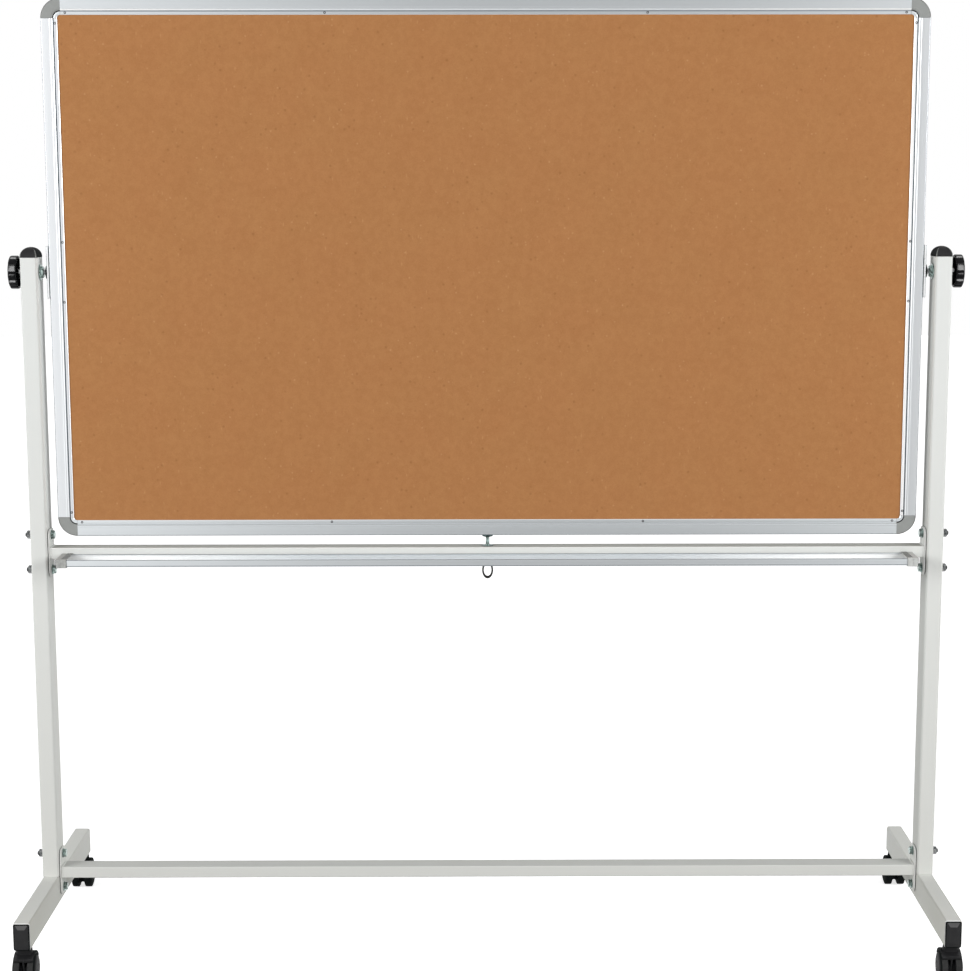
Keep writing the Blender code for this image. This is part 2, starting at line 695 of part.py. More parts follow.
def tray_section():
    """Outline of the tray as (forwards, up) from its lower back edge, with rolled beads."""
    bead = TRAY_BEAD / 2
    back = [(0, 0)]
    for degrees in TRAY_BEAD_ANGLES:
        angle = math.radians(degrees)
        back.append((bead + bead * math.cos(angle), TRAY_LIP_HEIGHT - bead + bead * math.sin(angle)))
    back += [(TRAY_WALL, TRAY_LIP_HEIGHT - TRAY_BEAD), (TRAY_WALL, TRAY_WALL)]
    return back + [(TRAY_DEPTH - forwards, up) for forwards, up in reversed(back)]


def tray_cap(side):
    """A moulded end for the tray, open towards the tray and along the crossbar."""
    outer = end_plate_in - TRAY_CAP_END_GAP
    inner = outer - TRAY_CAP_LENGTH
    mouth = outer - (TRAY_CAP_LENGTH - TRAY_CAP_GRIP)
    depth = TRAY_DEPTH + TOUCH_GAP + TRAY_CAP_WALL
    low = -TRAY_CAP_WALL - TOUCH_GAP
    high = TRAY_LIP_HEIGHT + TOUCH_GAP + TRAY_CAP_WALL
    chamfer = TRAY_CAP_CHAMFER
    body_outline = [(0, low), (0, high), (depth - chamfer, high), (depth, high - chamfer),
                    (depth, low)]
    body = prism([body_outline], X_AXIS, side * inner, side * outer, across=-Y_AXIS)
    pocket_outline = [(-CUT_OVERRUN, -TOUCH_GAP), (TRAY_DEPTH + TOUCH_GAP, -TOUCH_GAP),
                      (TRAY_DEPTH + TOUCH_GAP, TRAY_LIP_HEIGHT + TOUCH_GAP),
                      (-CUT_OVERRUN, TRAY_LIP_HEIGHT + TOUCH_GAP)]
    pocket = prism([pocket_outline], X_AXIS, side * (inner - CUT_OVERRUN), side * mouth,
                   across=-Y_AXIS)
    return combine("tray_cap", body, cut=(pocket,))


def pin_collar_low():
    """Height of the underside of the pin's collar, on the spring, from the crossbar's middle."""
    coil_height = SPRING_TURNS * spring_pitch() + 2 * SPRING_WIRE_RADIUS
    return -BAR_HEIGHT / 2 + BAR_WALL + 2 * SPRING_SEAT_GAP + coil_height


def spring_pitch():
    """Rise of each turn of the pressed spring."""
    return 2 * SPRING_WIRE_RADIUS + RUN_GAP


def lock_pin():
    """The sliding pin: nose, stem, spring collar, and a flat tang with the ring's eye."""
    nose = catch_gap_place()
    collar_low = pin_collar_low()
    eye = -BAR_HEIGHT / 2 - EYE_DROP
    low = eye - EYE_RADIUS - EYE_MARGIN
    stem = lathe([
        (0, nose),
        (PIN_RADIUS - PIN_NOSE, nose),
        (PIN_RADIUS, nose - PIN_NOSE),
        (PIN_RADIUS, collar_low + COLLAR_THICKNESS),
        (COLLAR_RADIUS, collar_low + COLLAR_THICKNESS),
        (COLLAR_RADIUS, collar_low),
        (PIN_RADIUS, collar_low),
        (PIN_RADIUS, low + PIN_NOSE),
        (PIN_RADIUS - PIN_NOSE, low),
        (0, low),
    ], Z_AXIS, sides=16)
    tang_top = eye + EYE_RADIUS + EYE_MARGIN
    trims = []
    for side in (-1, 1):
        flat = rounded_rectangle(PIN_RADIUS, 4 * PIN_RADIUS, EYE_RADIUS / 4, steps=1,
                                 centre=(side * (TANG_THICKNESS + PIN_RADIUS) / 2, 0))
        trims.append(prism([flat], Z_AXIS, low - CUT_OVERRUN, tang_top))
    hole = rod(EYE_RADIUS, X_AXIS, -TANG_THICKNESS, TANG_THICKNESS, 12, offset=Z_AXIS * eye)
    return combine("lock_pin", stem, cut=trims + [hole])


def catch_gap_place():
    """Height of the pin's nose when it is drawn down, from the crossbar's middle."""
    flange_face = BAR_HEIGHT / 2 + BAR_BELOW_BOARD - TOUCH_GAP - CATCH_FLANGE_THICKNESS
    return flange_face - PIN_REST_GAP


def guide_bush():
    """The flanged bush that guides the pin through the crossbar's upper wall."""
    bore = PIN_RADIUS + TOUCH_GAP
    seat = BAR_HEIGHT / 2 + TOUCH_GAP
    sleeve_low = BAR_HEIGHT / 2 - BAR_WALL
    return lathe([
        (bore, sleeve_low),
        (GUIDE_SLEEVE_RADIUS, sleeve_low),
        (GUIDE_SLEEVE_RADIUS, seat),
        (GUIDE_FLANGE_RADIUS, seat),
        (GUIDE_FLANGE_RADIUS, seat + GUIDE_FLANGE_THICKNESS),
        (bore, seat + GUIDE_FLANGE_THICKNESS),
    ], Z_AXIS, sides=16, closed=True)


def spring_points():
    """The pressed spring's centre line, from the crossbar's middle."""
    low = -BAR_HEIGHT / 2 + BAR_WALL + SPRING_SEAT_GAP + SPRING_WIRE_RADIUS
    points = []
    for i in range(SPRING_TURNS * SPRING_POINTS + 1):
        angle = math.tau * i / SPRING_POINTS
        points.append(Vector((SPRING_COIL_RADIUS * math.cos(angle),
                              SPRING_COIL_RADIUS * math.sin(angle),
                              low + spring_pitch() * i / SPRING_POINTS)))
    return points


def ring_points():
    """The pull ring's centre line: an oval that hangs from the eye, in the X-Z plane."""
    half_wide = RING_WIDTH / 2 - RING_WIRE_RADIUS
    half_tall = RING_HEIGHT / 2 - RING_WIRE_RADIUS
    points = []
    for i in range(RING_POINTS):
        angle = math.tau * i / RING_POINTS
        points.append(Vector((half_wide * math.sin(angle), 0, half_tall * (math.cos(angle) - 1))))
    return points


def wire(name, points, radius, look, cyclic, resolution, location, parent):
    """A round wire along a row of points."""
    curve = bpy.data.curves.new(name, "CURVE")
    curve.dimensions = "3D"
    curve.bevel_depth = radius
    curve.bevel_resolution = resolution
    curve.use_fill_caps = not cyclic
    line = curve.splines.new("POLY")
    line.points.add(len(points) - 1)
    for spot, point in zip(line.points, points):
        spot.co = (*point, 1)
    line.use_cyclic_u = cyclic
    curve.materials.append(make_material(look))
    piece = bpy.data.objects.new(name, curve)
    bpy.context.scene.collection.objects.link(piece)
    piece.location = location
    piece.parent = parent
    return piece


def wheel():
    """One wheel of a caster: a tread, a domed outer side and a blind bore, outwards along +X."""
    corner_reach = 1 / math.cos(math.pi / WHEEL_SIDES)
    tread = WHEEL_RADIUS * corner_reach
    shoulder = WHEEL_WIDTH - WHEEL_DOME
    bore = AXLE_RADIUS + RUN_GAP
    profile = [
        (0, AXLE_DEPTH + RUN_GAP),
        (bore, AXLE_DEPTH + RUN_GAP),
        (bore, 0),
        (tread - WHEEL_TREAD_ROUND, 0),
        (tread, WHEEL_TREAD_ROUND),
        (tread, shoulder - WHEEL_TREAD_ROUND),
        (tread - WHEEL_TREAD_ROUND, shoulder),
        (tread - WHEEL_SHOULDER, WHEEL_WIDTH - WHEEL_TREAD_ROUND / 2),
        (0, WHEEL_WIDTH),
    ]
    return lathe(profile, X_AXIS, sides=WHEEL_SIDES, first_share=0.5)


def arc(radius, start, end, steps):
    """Points of an arc round the wheel's axle, as (trailing way, up), angles from level."""
    points = []
    for step in range(steps + 1):
        angle = math.radians(start + (end - start) * step / steps)
        points.append((radius * math.cos(angle), radius * math.sin(angle)))
    return points


def caster_neck(axle, hood_radius):
    """The round neck between hood and foot, its root on the hood's curve, and the stem."""
    low = []
    for i in range(NECK_SIDES):
        angle = math.tau * i / NECK_SIDES
        x, y = NECK_RADIUS * math.cos(angle), NECK_RADIUS * math.sin(angle)
        low.append((x, y, axle.z + math.sqrt(hood_radius ** 2 - (y - axle.y) ** 2)))
    top = FOOT_CLEARANCE + STEM_REACH
    shoulder = FOOT_CLEARANCE - RUN_GAP
    rings = [low]
    for radius, height in ((NECK_RADIUS, shoulder), (STEM_RADIUS, shoulder), (STEM_RADIUS, top)):
        rings.append([(radius * x / NECK_RADIUS, radius * y / NECK_RADIUS, height)
                      for x, y, z in low])
    return loft(rings)


def caster_body():
    """Hood, middle web, axle and stem of a caster, from its swivel axis; the axle is at +Y."""
    axle = Vector((0, CASTER_TRAIL, WHEEL_RADIUS))
    inner = WHEEL_RADIUS / math.cos(math.pi / WHEEL_SIDES) + HOOD_GAP
    outer = inner + HOOD_THICKNESS
    skin = (arc(outer, HOOD_REAR_ANGLE, HOOD_FRONT_ANGLE, HOOD_STEPS)
            + arc(inner, HOOD_FRONT_ANGLE, HOOD_REAR_ANGLE, HOOD_STEPS))
    hood = moved(prism([skin], X_AXIS, -HOOD_WIDTH / 2, HOOD_WIDTH / 2), axle)
    web_outline = (arc((inner + outer) / 2, HOOD_REAR_ANGLE, HOOD_FRONT_ANGLE, HOOD_STEPS)
                   + arc(HUB_DISC_RADIUS, HOOD_FRONT_ANGLE + HUB_DISC_LEAD,
                         HOOD_REAR_ANGLE - HUB_DISC_LEAD + 360, HUB_DISC_STEPS))
    half_web = HUB_DISC_THICKNESS / 2
    web = moved(prism([web_outline], X_AXIS, -half_web, half_web), axle)
    axle_half = half_web + WHEEL_SIDE_GAP + AXLE_DEPTH
    shaft = rod(AXLE_RADIUS, X_AXIS, -axle_half, axle_half, 12, offset=axle)
    neck = caster_neck(axle, outer - HOOD_THICKNESS / 4)
    return combine("caster_body", web, add=(hood, shaft, neck))


def stand_place():
    """Where the posts stand, so that the whole object's outline is centred on the origin."""
    front = FOOT_LENGTH / 2 + TOUCH_GAP + FOOT_CAP_BRIM + FOOT_CAP_BULGE
    rear = caster_place() + CASTER_TRAIL + WHEEL_RADIUS
    return (front - rear) / 2


def build_board(stand):
    """Panel, frame, corners, bushes and pivots, all carried by the flip axis."""
    pivot = put_empty("board_pivot", (0, 0, PIVOT_HEIGHT))
    pivot.parent = stand
    front = -panel_depth / 2
    put("cork_sheet", panel_sheet(front, CORK_THICKNESS), "cork", parent=pivot)
    core_front = front + CORK_THICKNESS + TOUCH_GAP
    put("board_core", panel_sheet(core_front, CORE_THICKNESS), "board_core", parent=pivot)
    steel_front = core_front + CORE_THICKNESS + TOUCH_GAP
    steel = panel_sheet(steel_front, STEEL_THICKNESS)
    put("writing_sheet", steel, "white_steel", parent=pivot)

    spigot_hole = CATCH_SPIGOT_RADIUS + TOUCH_GAP
    for name, up in (("top", 1), ("bottom", -1)):
        edge = up * half_height
        hole = rod(spigot_hole, Z_AXIS, edge + up * CUT_OVERRUN, edge - up * SLOT_INSET / 2)
        shape = rail(X_AXIS, BOARD_WIDTH, half_height, -up * Z_AXIS, cut=(hole,))
        put("rail_" + name, shape, "frame_aluminium", parent=pivot)
        put("catch_bush_" + name, catch_bush(), "zinc_steel", location=(0, 0, up * catch_face),
            turn=(math.pi if up > 0 else 0, 0, 0), parent=pivot)
    for name, side in (("left", -1), ("right", 1)):
        shape = rail(Z_AXIS, BOARD_HEIGHT, half_width, -side * X_AXIS)
        put("rail_" + name, shape, "frame_aluminium", parent=pivot)

    corner = frame_corner()
    corners = {"top_right": (1, 1, 0), "bottom_right": (1, -1, 1),
               "bottom_left": (-1, -1, 2), "top_left": (-1, 1, 3)}
    for name, (side, up, quarters) in corners.items():
        place = (side * (half_width - CORNER_RADIUS), 0, up * (half_height - CORNER_RADIUS))
        put("corner_" + name, corner, "corner_plastic", location=place,
            turn=(0, quarters * math.pi / 2, 0), parent=pivot)

    plate = pivot_plate()
    washer = mesh_of(friction_washer(), "friction_washer")
    spacer = mesh_of(pivot_nut(), "pivot_nut")
    for name, side in (("left", -1), ("right", 1)):
        turn = (0, 0, math.pi if side < 0 else 0)
        put("pivot_plate_" + name, plate, "pivot_steel", turn=turn, parent=pivot)
        put("friction_washer_" + name, washer, "friction_plastic", turn=turn, parent=pivot)
        put("pivot_nut_" + name, spacer, "zinc_steel", turn=turn, parent=pivot)


def build_stand(stand):
    """Posts, feet, caps, crossbars and their bolts."""
    post_mesh = post()
    foot_mesh = foot()
    post_cap_mesh = mesh_of(post_cap(), "post_cap")
    foot_cap_mesh = mesh_of(foot_cap(), "foot_cap")
    bolt_mesh = mesh_of(bolt(), "bolt")
    for name, side in (("left", -1), ("right", 1)):
        middle = side * post_middle
        put("post_" + name, post_mesh, "stand_paint", location=(middle, 0, 0), parent=stand)
        put("foot_" + name, foot_mesh, "stand_paint", location=(middle, 0, 0), parent=stand)
        put("post_cap_" + name, post_cap_mesh, "black_plastic",
            location=(middle, 0, post_top + TOUCH_GAP), parent=stand)
        for end, way in (("front", -1), ("rear", 1)):
            place = (middle, way * (FOOT_LENGTH / 2 + TOUCH_GAP), foot_middle)
            put("foot_cap_" + end + "_" + name, foot_cap_mesh, "black_plastic",
                location=place, turn=(0, 0, math.pi if way > 0 else 0), parent=stand)
        for bar, bar_height in (("upper", upper_bar_height), ("lower", LOWER_BAR_HEIGHT)):
            for level, height in zip(("bottom", "top"), bolt_heights(bar_height)):
                put("bolt_" + bar + "_" + name + "_" + level, bolt_mesh, "zinc_steel",
                    location=(side * end_plate_in, 0, height),
                    turn=(0, 0, math.pi if side < 0 else 0), parent=stand)
    for bar, bar_height in (("upper", upper_bar_height), ("lower", LOWER_BAR_HEIGHT)):
        put("crossbar_" + bar, crossbar(bar == "upper"), "stand_paint",
            location=(0, 0, bar_height), parent=stand)


def build_tray(stand):
    """The pen tray on the upper crossbar's front, and its two moulded ends."""
    back = -BAR_DEPTH / 2 - TOUCH_GAP
    low = upper_bar_top - TRAY_DROP - TRAY_LIP_HEIGHT
    tray_half = end_plate_in - TRAY_CAP_END_GAP - (TRAY_CAP_LENGTH - TRAY_CAP_GRIP) - TOUCH_GAP
    tray = prism([tray_section()], X_AXIS, -tray_half, tray_half, across=-Y_AXIS)
    put("pen_tray", tray, "tray_aluminium", location=(0, back, low), parent=stand)
    for name, side in (("left", -1), ("right", 1)):
        put("tray_cap_" + name, tray_cap(side), "corner_plastic", location=(0, back, low),
            parent=stand)


def build_lock(stand):
    """The pin that locks the board upright, with its guide, spring and pull ring."""
    middle = (0, 0, upper_bar_height)
    put("lock_guide_bush", guide_bush(), "zinc_steel", location=middle, parent=stand)
    carrier = put("lock_pin", lock_pin(), "zinc_steel", location=middle, parent=stand)
    coil = spring_points()
    wire("lock_spring", coil, SPRING_WIRE_RADIUS, "spring_steel", False, 1, middle, stand)
    turns = zip(coil, coil[SPRING_POINTS:])
    least_gap = min((low - high).length for low, high in turns) - 2 * SPRING_WIRE_RADIUS
    print(f"lock spring: least gap between turns {least_gap / TOUCH_GAP:.2f} times the touch gap")
    eye = (0, 0, -BAR_HEIGHT / 2 - EYE_DROP)
    wire("pull_ring", ring_points(), RING_WIRE_RADIUS, "ring_wire", True, 2, eye, carrier)


def build_knobs(stand):
    """The two clamp knobs on the ends of the pivot studs."""
    mesh = mesh_of(knob(), "knob")
    for name, side in (("left", -1), ("right", 1)):
        put("knob_" + name, mesh, "black_plastic", location=(side * knob_back, 0, PIVOT_HEIGHT),
            turn=(0, 0, math.pi if side < 0 else 0), parent=stand)


def build_casters(stand):
    """Four twin-wheel casters: each body swivels in its foot and each wheel turns alone."""
    body = caster_body()
    wheel_mesh = mesh_of(wheel(), "wheel")
    wheel_place = HUB_DISC_THICKNESS / 2 + WHEEL_SIDE_GAP
    for end, way in (("front", -1), ("rear", 1)):
        for name, side in (("left", -1), ("right", 1)):
            place = (side * post_middle, way * caster_place(), 0)
            carrier = put("caster_" + end + "_" + name, body, "caster_plastic", location=place,
                          parent=stand)
            for flank, sign in (("inner", -side), ("outer", side)):
                put("wheel_" + end + "_" + name + "_" + flank, wheel_mesh, "wheel_plastic",
                    location=(sign * wheel_place, CASTER_TRAIL, WHEEL_RADIUS),
                    turn=(0, 0, math.pi if sign < 0 else 0), parent=carrier)


clear_scene()
stand_empty = put_empty("stand", (0, stand_place(), 0))
for build in (build_board, build_stand, build_tray, build_lock, build_knobs, build_casters):
    build(stand_empty)
bpy.context.view_layer.update()
pieces = [item for item in bpy.data.objects if item.type in {"MESH", "CURVE"}]
print(f"{len(pieces)} pieces, {2 * knob_front / BOARD_WIDTH:.3f} board widths over the knobs")
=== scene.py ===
# %% [markdown]
# # A rolling board with a cork face and a white steel face
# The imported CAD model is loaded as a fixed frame. Each visible piece then gets a finer
# shape or a finer finish on top of it, and keeps its place and its moving body.

# %% Load the model and keep its box
import json
import math

import bpy
from mathutils import Euler, Matrix, Vector


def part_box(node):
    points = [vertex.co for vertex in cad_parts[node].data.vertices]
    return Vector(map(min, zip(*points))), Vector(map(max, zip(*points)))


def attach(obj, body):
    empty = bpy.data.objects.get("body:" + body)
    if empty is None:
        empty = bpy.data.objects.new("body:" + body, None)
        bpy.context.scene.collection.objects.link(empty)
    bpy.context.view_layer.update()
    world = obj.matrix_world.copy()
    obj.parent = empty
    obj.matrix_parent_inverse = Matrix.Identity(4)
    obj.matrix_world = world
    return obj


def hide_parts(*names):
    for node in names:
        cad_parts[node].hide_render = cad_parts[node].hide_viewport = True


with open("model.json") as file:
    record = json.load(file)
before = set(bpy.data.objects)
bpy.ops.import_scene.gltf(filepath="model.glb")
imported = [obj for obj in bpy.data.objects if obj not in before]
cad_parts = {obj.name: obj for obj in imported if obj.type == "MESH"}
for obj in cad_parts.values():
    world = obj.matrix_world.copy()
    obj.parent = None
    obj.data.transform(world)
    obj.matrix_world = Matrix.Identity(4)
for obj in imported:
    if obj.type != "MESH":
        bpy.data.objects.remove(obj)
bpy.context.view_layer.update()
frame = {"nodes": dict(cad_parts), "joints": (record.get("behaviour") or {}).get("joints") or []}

# %% [markdown]
# The board turns about a level axis through its two pivots. Most places are measured
# from that axis, so it is read from the model's own joint.

# %% The pivot axis and the board's half sizes
flip = next(joint for joint in frame["joints"] if joint["name"] == "board_flip")
STAND_Y, PIVOT_Z = flip["pos_m"][1], flip["pos_m"][2]
HALF_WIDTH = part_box("corner_top_right")[1].x
HALF_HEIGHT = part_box("corner_top_right")[1].z - PIVOT_Z
SIDES = {"left": -1, "right": 1}
print("axis at", STAND_Y, PIVOT_Z, "half board", round(HALF_WIDTH, 4), round(HALF_HEIGHT, 4))

# %% [markdown]
# ## Camera
# The photograph was taken from just right of the middle, a little above the board's
# centre and tilted down about nine degrees. A small lens shift gives its framing.

# %% Camera
PHOTO_WIDTH, PHOTO_HEIGHT = 970, 971
FOCAL_PIXELS, CENTRE_X, CENTRE_Y = 2069.93, 505.98, 521.82
aim = Euler((math.radians(90 - 9.102), 0, math.radians(-0.323))).to_matrix()
aim = aim @ Matrix.Rotation(math.radians(-0.065), 3, "Z")
bpy.ops.object.camera_add(location=(0.0122, STAND_Y - 3.5848, 1.3253), rotation=aim.to_euler())
camera = bpy.context.active_object
camera.data.sensor_width = 36
camera.data.lens = FOCAL_PIXELS * 36 / PHOTO_HEIGHT
camera.data.shift_x = (PHOTO_WIDTH / 2 - CENTRE_X) / PHOTO_HEIGHT
camera.data.shift_y = (CENTRE_Y - PHOTO_HEIGHT / 2) / PHOTO_HEIGHT
bpy.context.scene.camera = camera
print("lens", round(camera.data.lens, 2), "mm, shift", round(camera.data.shift_x, 4),
      round(camera.data.shift_y, 4))

# %% [markdown]
# ## Room and light
# The photograph has a plain white ground. The world and the floor show white to the
# camera, and light the object at a plain level. Two broad soft lights stand in front, one
# on each side, because the posts' outer sides and both halves of the cork are evenly lit.

# %% Two helpers for shader nodes
def add_node(tree, kind, inputs=None, **options):
    """Adds a shader node with its options, and values for its inputs."""
    node = tree.nodes.new("ShaderNode" + kind)
    for option, value in options.items():
        setattr(node, option, value)
    for label, value in (inputs or {}).items():
        node.inputs[label].default_value = value
    return node


def wire(tree, *pairs):
    """Links outputs to inputs, pair by pair."""
    for output, socket in pairs:
        tree.links.new(output, socket)


# %% White surroundings
world = bpy.data.worlds.new("studio")
bpy.context.scene.world = world
world.use_nodes = True
air = world.node_tree
sky = air.nodes["Background"]
sky.inputs["Color"].default_value = (1, 1, 1, 1)
seen = add_node(air, "LightPath")
either = add_node(air, "Math", operation="MAXIMUM")
third = add_node(air, "Math", operation="MAXIMUM")
level = add_node(air, "MapRange", {"To Min": 0.20, "To Max": 1.0})
wire(air, (seen.outputs["Is Camera Ray"], either.inputs[0]),
     (seen.outputs["Is Glossy Ray"], either.inputs[1]), (either.outputs[0], third.inputs[0]),
     (seen.outputs["Is Transmission Ray"], third.inputs[1]),
     (third.outputs[0], level.inputs["Value"]), (level.outputs[0], sky.inputs["Strength"]))
bpy.context.scene.view_settings.view_transform = "Standard"

# %% Soft lights
def soft_light(name, place, target, width, height, power):
    """A large area light that looks at a point."""
    turn = (Vector(place) - Vector(target)).to_track_quat("Z", "Y").to_euler()
    bpy.ops.object.light_add(type="AREA", location=place, rotation=turn)
    lamp = bpy.context.active_object
    lamp.name = name
    lamp.data.shape = "RECTANGLE"
    lamp.data.size, lamp.data.size_y, lamp.data.energy = width, height, power
    return lamp


soft_light("key", (-3.75, -2.6, 2.1), (0, 0, 1.0), 2.4, 2.0, 131)
soft_light("fill", (3.75, -2.6, 2.1), (0, 0, 1.0), 2.4, 2.0, 133)

# %% [markdown]
# The knobs show long bright reflections and the painted steel none, so two tall strips
# light only the knobs, and a panel overhead only the other black mouldings, and both only
# as a reflection. A far lamp behind lights the rear faces, and never the floor.

# %% Reflections for the black pieces
behind = soft_light("behind", (0, 9.0, 1.1), (0, 0, 1.0), 3.0, 1.6, 520)
behind.visible_glossy = False
rear_side = bpy.data.collections.new("rear_side")
behind.light_linking.receiver_collection = rear_side
glossy_black = bpy.data.collections.new("glossy_black")
plain_black = bpy.data.collections.new("plain_black")
for name, spot, target, width, height, power in (
        ("strip_left", (-1.7, -4.0, 1.7), (-0.8, 0, 1.2), 1.1, 6.0, 1100),
        ("strip_right", (1.7, -4.0, 1.7), (0.8, 0, 1.2), 1.1, 6.0, 1100),
        ("overhead", (0, -0.4, 3.4), (0, -0.4, 0), 3.2, 2.4, 260)):
    strip = soft_light(name, spot, target, width, height, power)
    strip.visible_diffuse = False
    strip.light_linking.receiver_collection = plain_black if name == "overhead" else glossy_black

# %% [markdown]
# Polished metal shows what stands before it. In the photograph the rails are darker in
# the middle than at their ends, so a card that is grey in the middle stands behind the
# camera and another lies before the stand. Only reflections see them.

# %% Grey card
card_tone = bpy.data.materials.new("card_tone")
card_tone.use_nodes = True
card_tree = card_tone.node_tree
card_shader = card_tree.nodes["Principled BSDF"]
for label, value in (("Base Color", (0, 0, 0, 1)), ("Specular IOR Level", 0.0),
                     ("Emission Strength", 1.0)):
    card_shader.inputs[label].default_value = value
card_place = add_node(card_tree, "TexCoord")
card_split = add_node(card_tree, "SeparateXYZ")
card_shift = add_node(card_tree, "Math", {1: 0.30}, operation="SUBTRACT")
card_away = add_node(card_tree, "Math", operation="ABSOLUTE")
card_ramp = add_node(card_tree, "MapRange",
                     {"From Min": 0.6, "From Max": 2.0, "To Min": 0.49, "To Max": 1.05})
wire(card_tree, (card_place.outputs["Object"], card_split.inputs[0]),
     (card_split.outputs["X"], card_shift.inputs[0]), (card_shift.outputs[0], card_away.inputs[0]),
     (card_away.outputs[0], card_ramp.inputs["Value"]),
     (card_ramp.outputs[0], card_shader.inputs["Emission Color"]))
for name, spot, tilt, deep in (("grey_card", (0, -4.6, 1.6), 90, 3.2),
                               ("grey_card_low", (0, -2.8, 0.003), 0, 3.6)):
    bpy.ops.mesh.primitive_plane_add(size=1, location=spot, rotation=(math.radians(tilt), 0, 0))
    card = bpy.context.active_object
    card.name, card.scale = name, (4.4, deep, 1)
    bpy.ops.object.transform_apply(location=False, rotation=True, scale=True)
    card.data.materials.append(card_tone)
    for ray in ("visible_camera", "visible_diffuse", "visible_shadow", "visible_transmission"):
        setattr(card, ray, False)

# %% Floor
bpy.ops.mesh.primitive_circle_add(vertices=96, radius=16, fill_type="NGON", location=(0, 0, 0))
floor = bpy.context.active_object
floor.name = "floor"
paper = bpy.data.materials.new("floor_paper")
paper.use_nodes = True
sheet = paper.node_tree
paper_shader = sheet.nodes["Principled BSDF"]
for label, value in (("Roughness", 0.9), ("Specular IOR Level", 0.1),
                     ("Emission Color", (1, 1, 1, 1))):
    paper_shader.inputs[label].default_value = value
paper_ray = add_node(sheet, "LightPath")
paper_tone = add_node(sheet, "Mix", data_type="RGBA")
paper_tone.inputs["A"].default_value = (0.55, 0.55, 0.55, 1)
paper_tone.inputs["B"].default_value = (0.93, 0.93, 0.93, 1)
paper_place = add_node(sheet, "TexCoord")
paper_far = add_node(sheet, "VectorMath", operation="LENGTH")
paper_rise = add_node(sheet, "MapRange",
                      {"From Min": 1.2, "From Max": 4.0, "To Min": 0.70, "To Max": 1.0})
paper_glow = add_node(sheet, "Math", operation="MULTIPLY")
paper_seen = add_node(sheet, "Math", operation="MAXIMUM")
wire(sheet, (paper_place.outputs["Object"], paper_far.inputs[0]),
     (paper_far.outputs["Value"], paper_rise.inputs["Value"]),
     (paper_rise.outputs[0], paper_glow.inputs[1]),
     (paper_ray.outputs["Is Camera Ray"], paper_seen.inputs[0]),
     (paper_ray.outputs["Is Glossy Ray"], paper_seen.inputs[1]),
     (paper_seen.outputs[0], paper_tone.inputs["Factor"]),
     (paper_tone.outputs["Result"], paper_shader.inputs["Base Color"]),
     (paper_seen.outputs[0], paper_glow.inputs[0]),
     (paper_glow.outputs[0], paper_shader.inputs["Emission Strength"]))
floor.data.materials.append(paper)

# %% [markdown]
# ## Shared effects
# Three effects come back in most finishes: soft patches of tone, scattered flecks, and a
# fine relief. Each is a node group, built once, that gives a value, a mask or a normal.

# %% A helper that starts a node group
def start_group(name, output, kind, **values):
    """A shader group with a vector input, number inputs and one output, and its end nodes."""
    group = bpy.data.node_groups.new(name, "ShaderNodeTree")
    group.interface.new_socket(name="Vector", in_out="INPUT", socket_type="NodeSocketVector")
    for label, value in values.items():
        socket = group.interface.new_socket(name=label, in_out="INPUT",
                                            socket_type="NodeSocketFloat")
        socket.default_value = value
    group.interface.new_socket(name=output, in_out="OUTPUT", socket_type="NodeSocket" + kind)
    return group, group.nodes.new("NodeGroupInput"), group.nodes.new("NodeGroupOutput")


# %% Soft patches
patches, here, out = start_group("soft_patches", "Value", "Float",
                                 Scale=10.0, Detail=3.0, Contrast=1.0)
cloud = add_node(patches, "TexNoise", {"Roughness": 0.6})
centre = add_node(patches, "Math", {1: 0.5}, operation="SUBTRACT")
stretch = add_node(patches, "Math", operation="MULTIPLY")
back = add_node(patches, "Math", {1: 0.5}, operation="ADD", use_clamp=True)
wire(patches, *((here.outputs[label], cloud.inputs[label])
                for label in ("Vector", "Scale", "Detail")),
     (cloud.outputs["Fac"], centre.inputs[0]), (centre.outputs[0], stretch.inputs[0]),
     (here.outputs["Contrast"], stretch.inputs[1]), (stretch.outputs[0], back.inputs[0]),
     (back.outputs[0], out.inputs["Value"]))

# %% Scattered flecks
flecks, here, out = start_group("scattered_flecks", "Mask", "Float",
                                Scale=200.0, Share=0.1, Size=0.3)
cells = add_node(flecks, "TexVoronoi")
lot = add_node(flecks, "SeparateColor")
chosen = add_node(flecks, "Math", operation="LESS_THAN")
near = add_node(flecks, "MapRange", {"From Min": 0.0, "To Min": 1.0, "To Max": 0.0},
                interpolation_type="SMOOTHSTEP")
both = add_node(flecks, "Math", operation="MULTIPLY")
wire(flecks, *((here.outputs[label], cells.inputs[label]) for label in ("Vector", "Scale")),
     (cells.outputs["Color"], lot.inputs["Color"]), (lot.outputs[0], chosen.inputs[0]),
     (here.outputs["Share"], chosen.inputs[1]), (cells.outputs["Distance"], near.inputs["Value"]),
     (here.outputs["Size"], near.inputs["From Max"]), (chosen.outputs[0], both.inputs[0]),
     (near.outputs[0], both.inputs[1]), (both.outputs[0], out.inputs["Mask"]))

# %% Fine relief
relief, here, out = start_group("fine_relief", "Normal", "Vector",
                                Scale=800.0, Strength=0.2, Depth=0.0002)
grains = add_node(relief, "TexNoise", {"Detail": 2.0})
raised = add_node(relief, "Bump")
wire(relief, *((here.outputs[label], grains.inputs[label]) for label in ("Vector", "Scale")),
     (grains.outputs["Fac"], raised.inputs["Height"]),
     (here.outputs["Strength"], raised.inputs["Strength"]),
     (here.outputs["Depth"], raised.inputs["Distance"]),
     (raised.outputs["Normal"], out.inputs["Normal"]))
print("groups:", patches.name, flecks.name, relief.name)

# %% [markdown]
# ## Finishes
# Every finish is built the same way: two tones mixed by soft patches, a roughness that
# drifts a little, and a fine relief. The numbers and any extra layers differ.

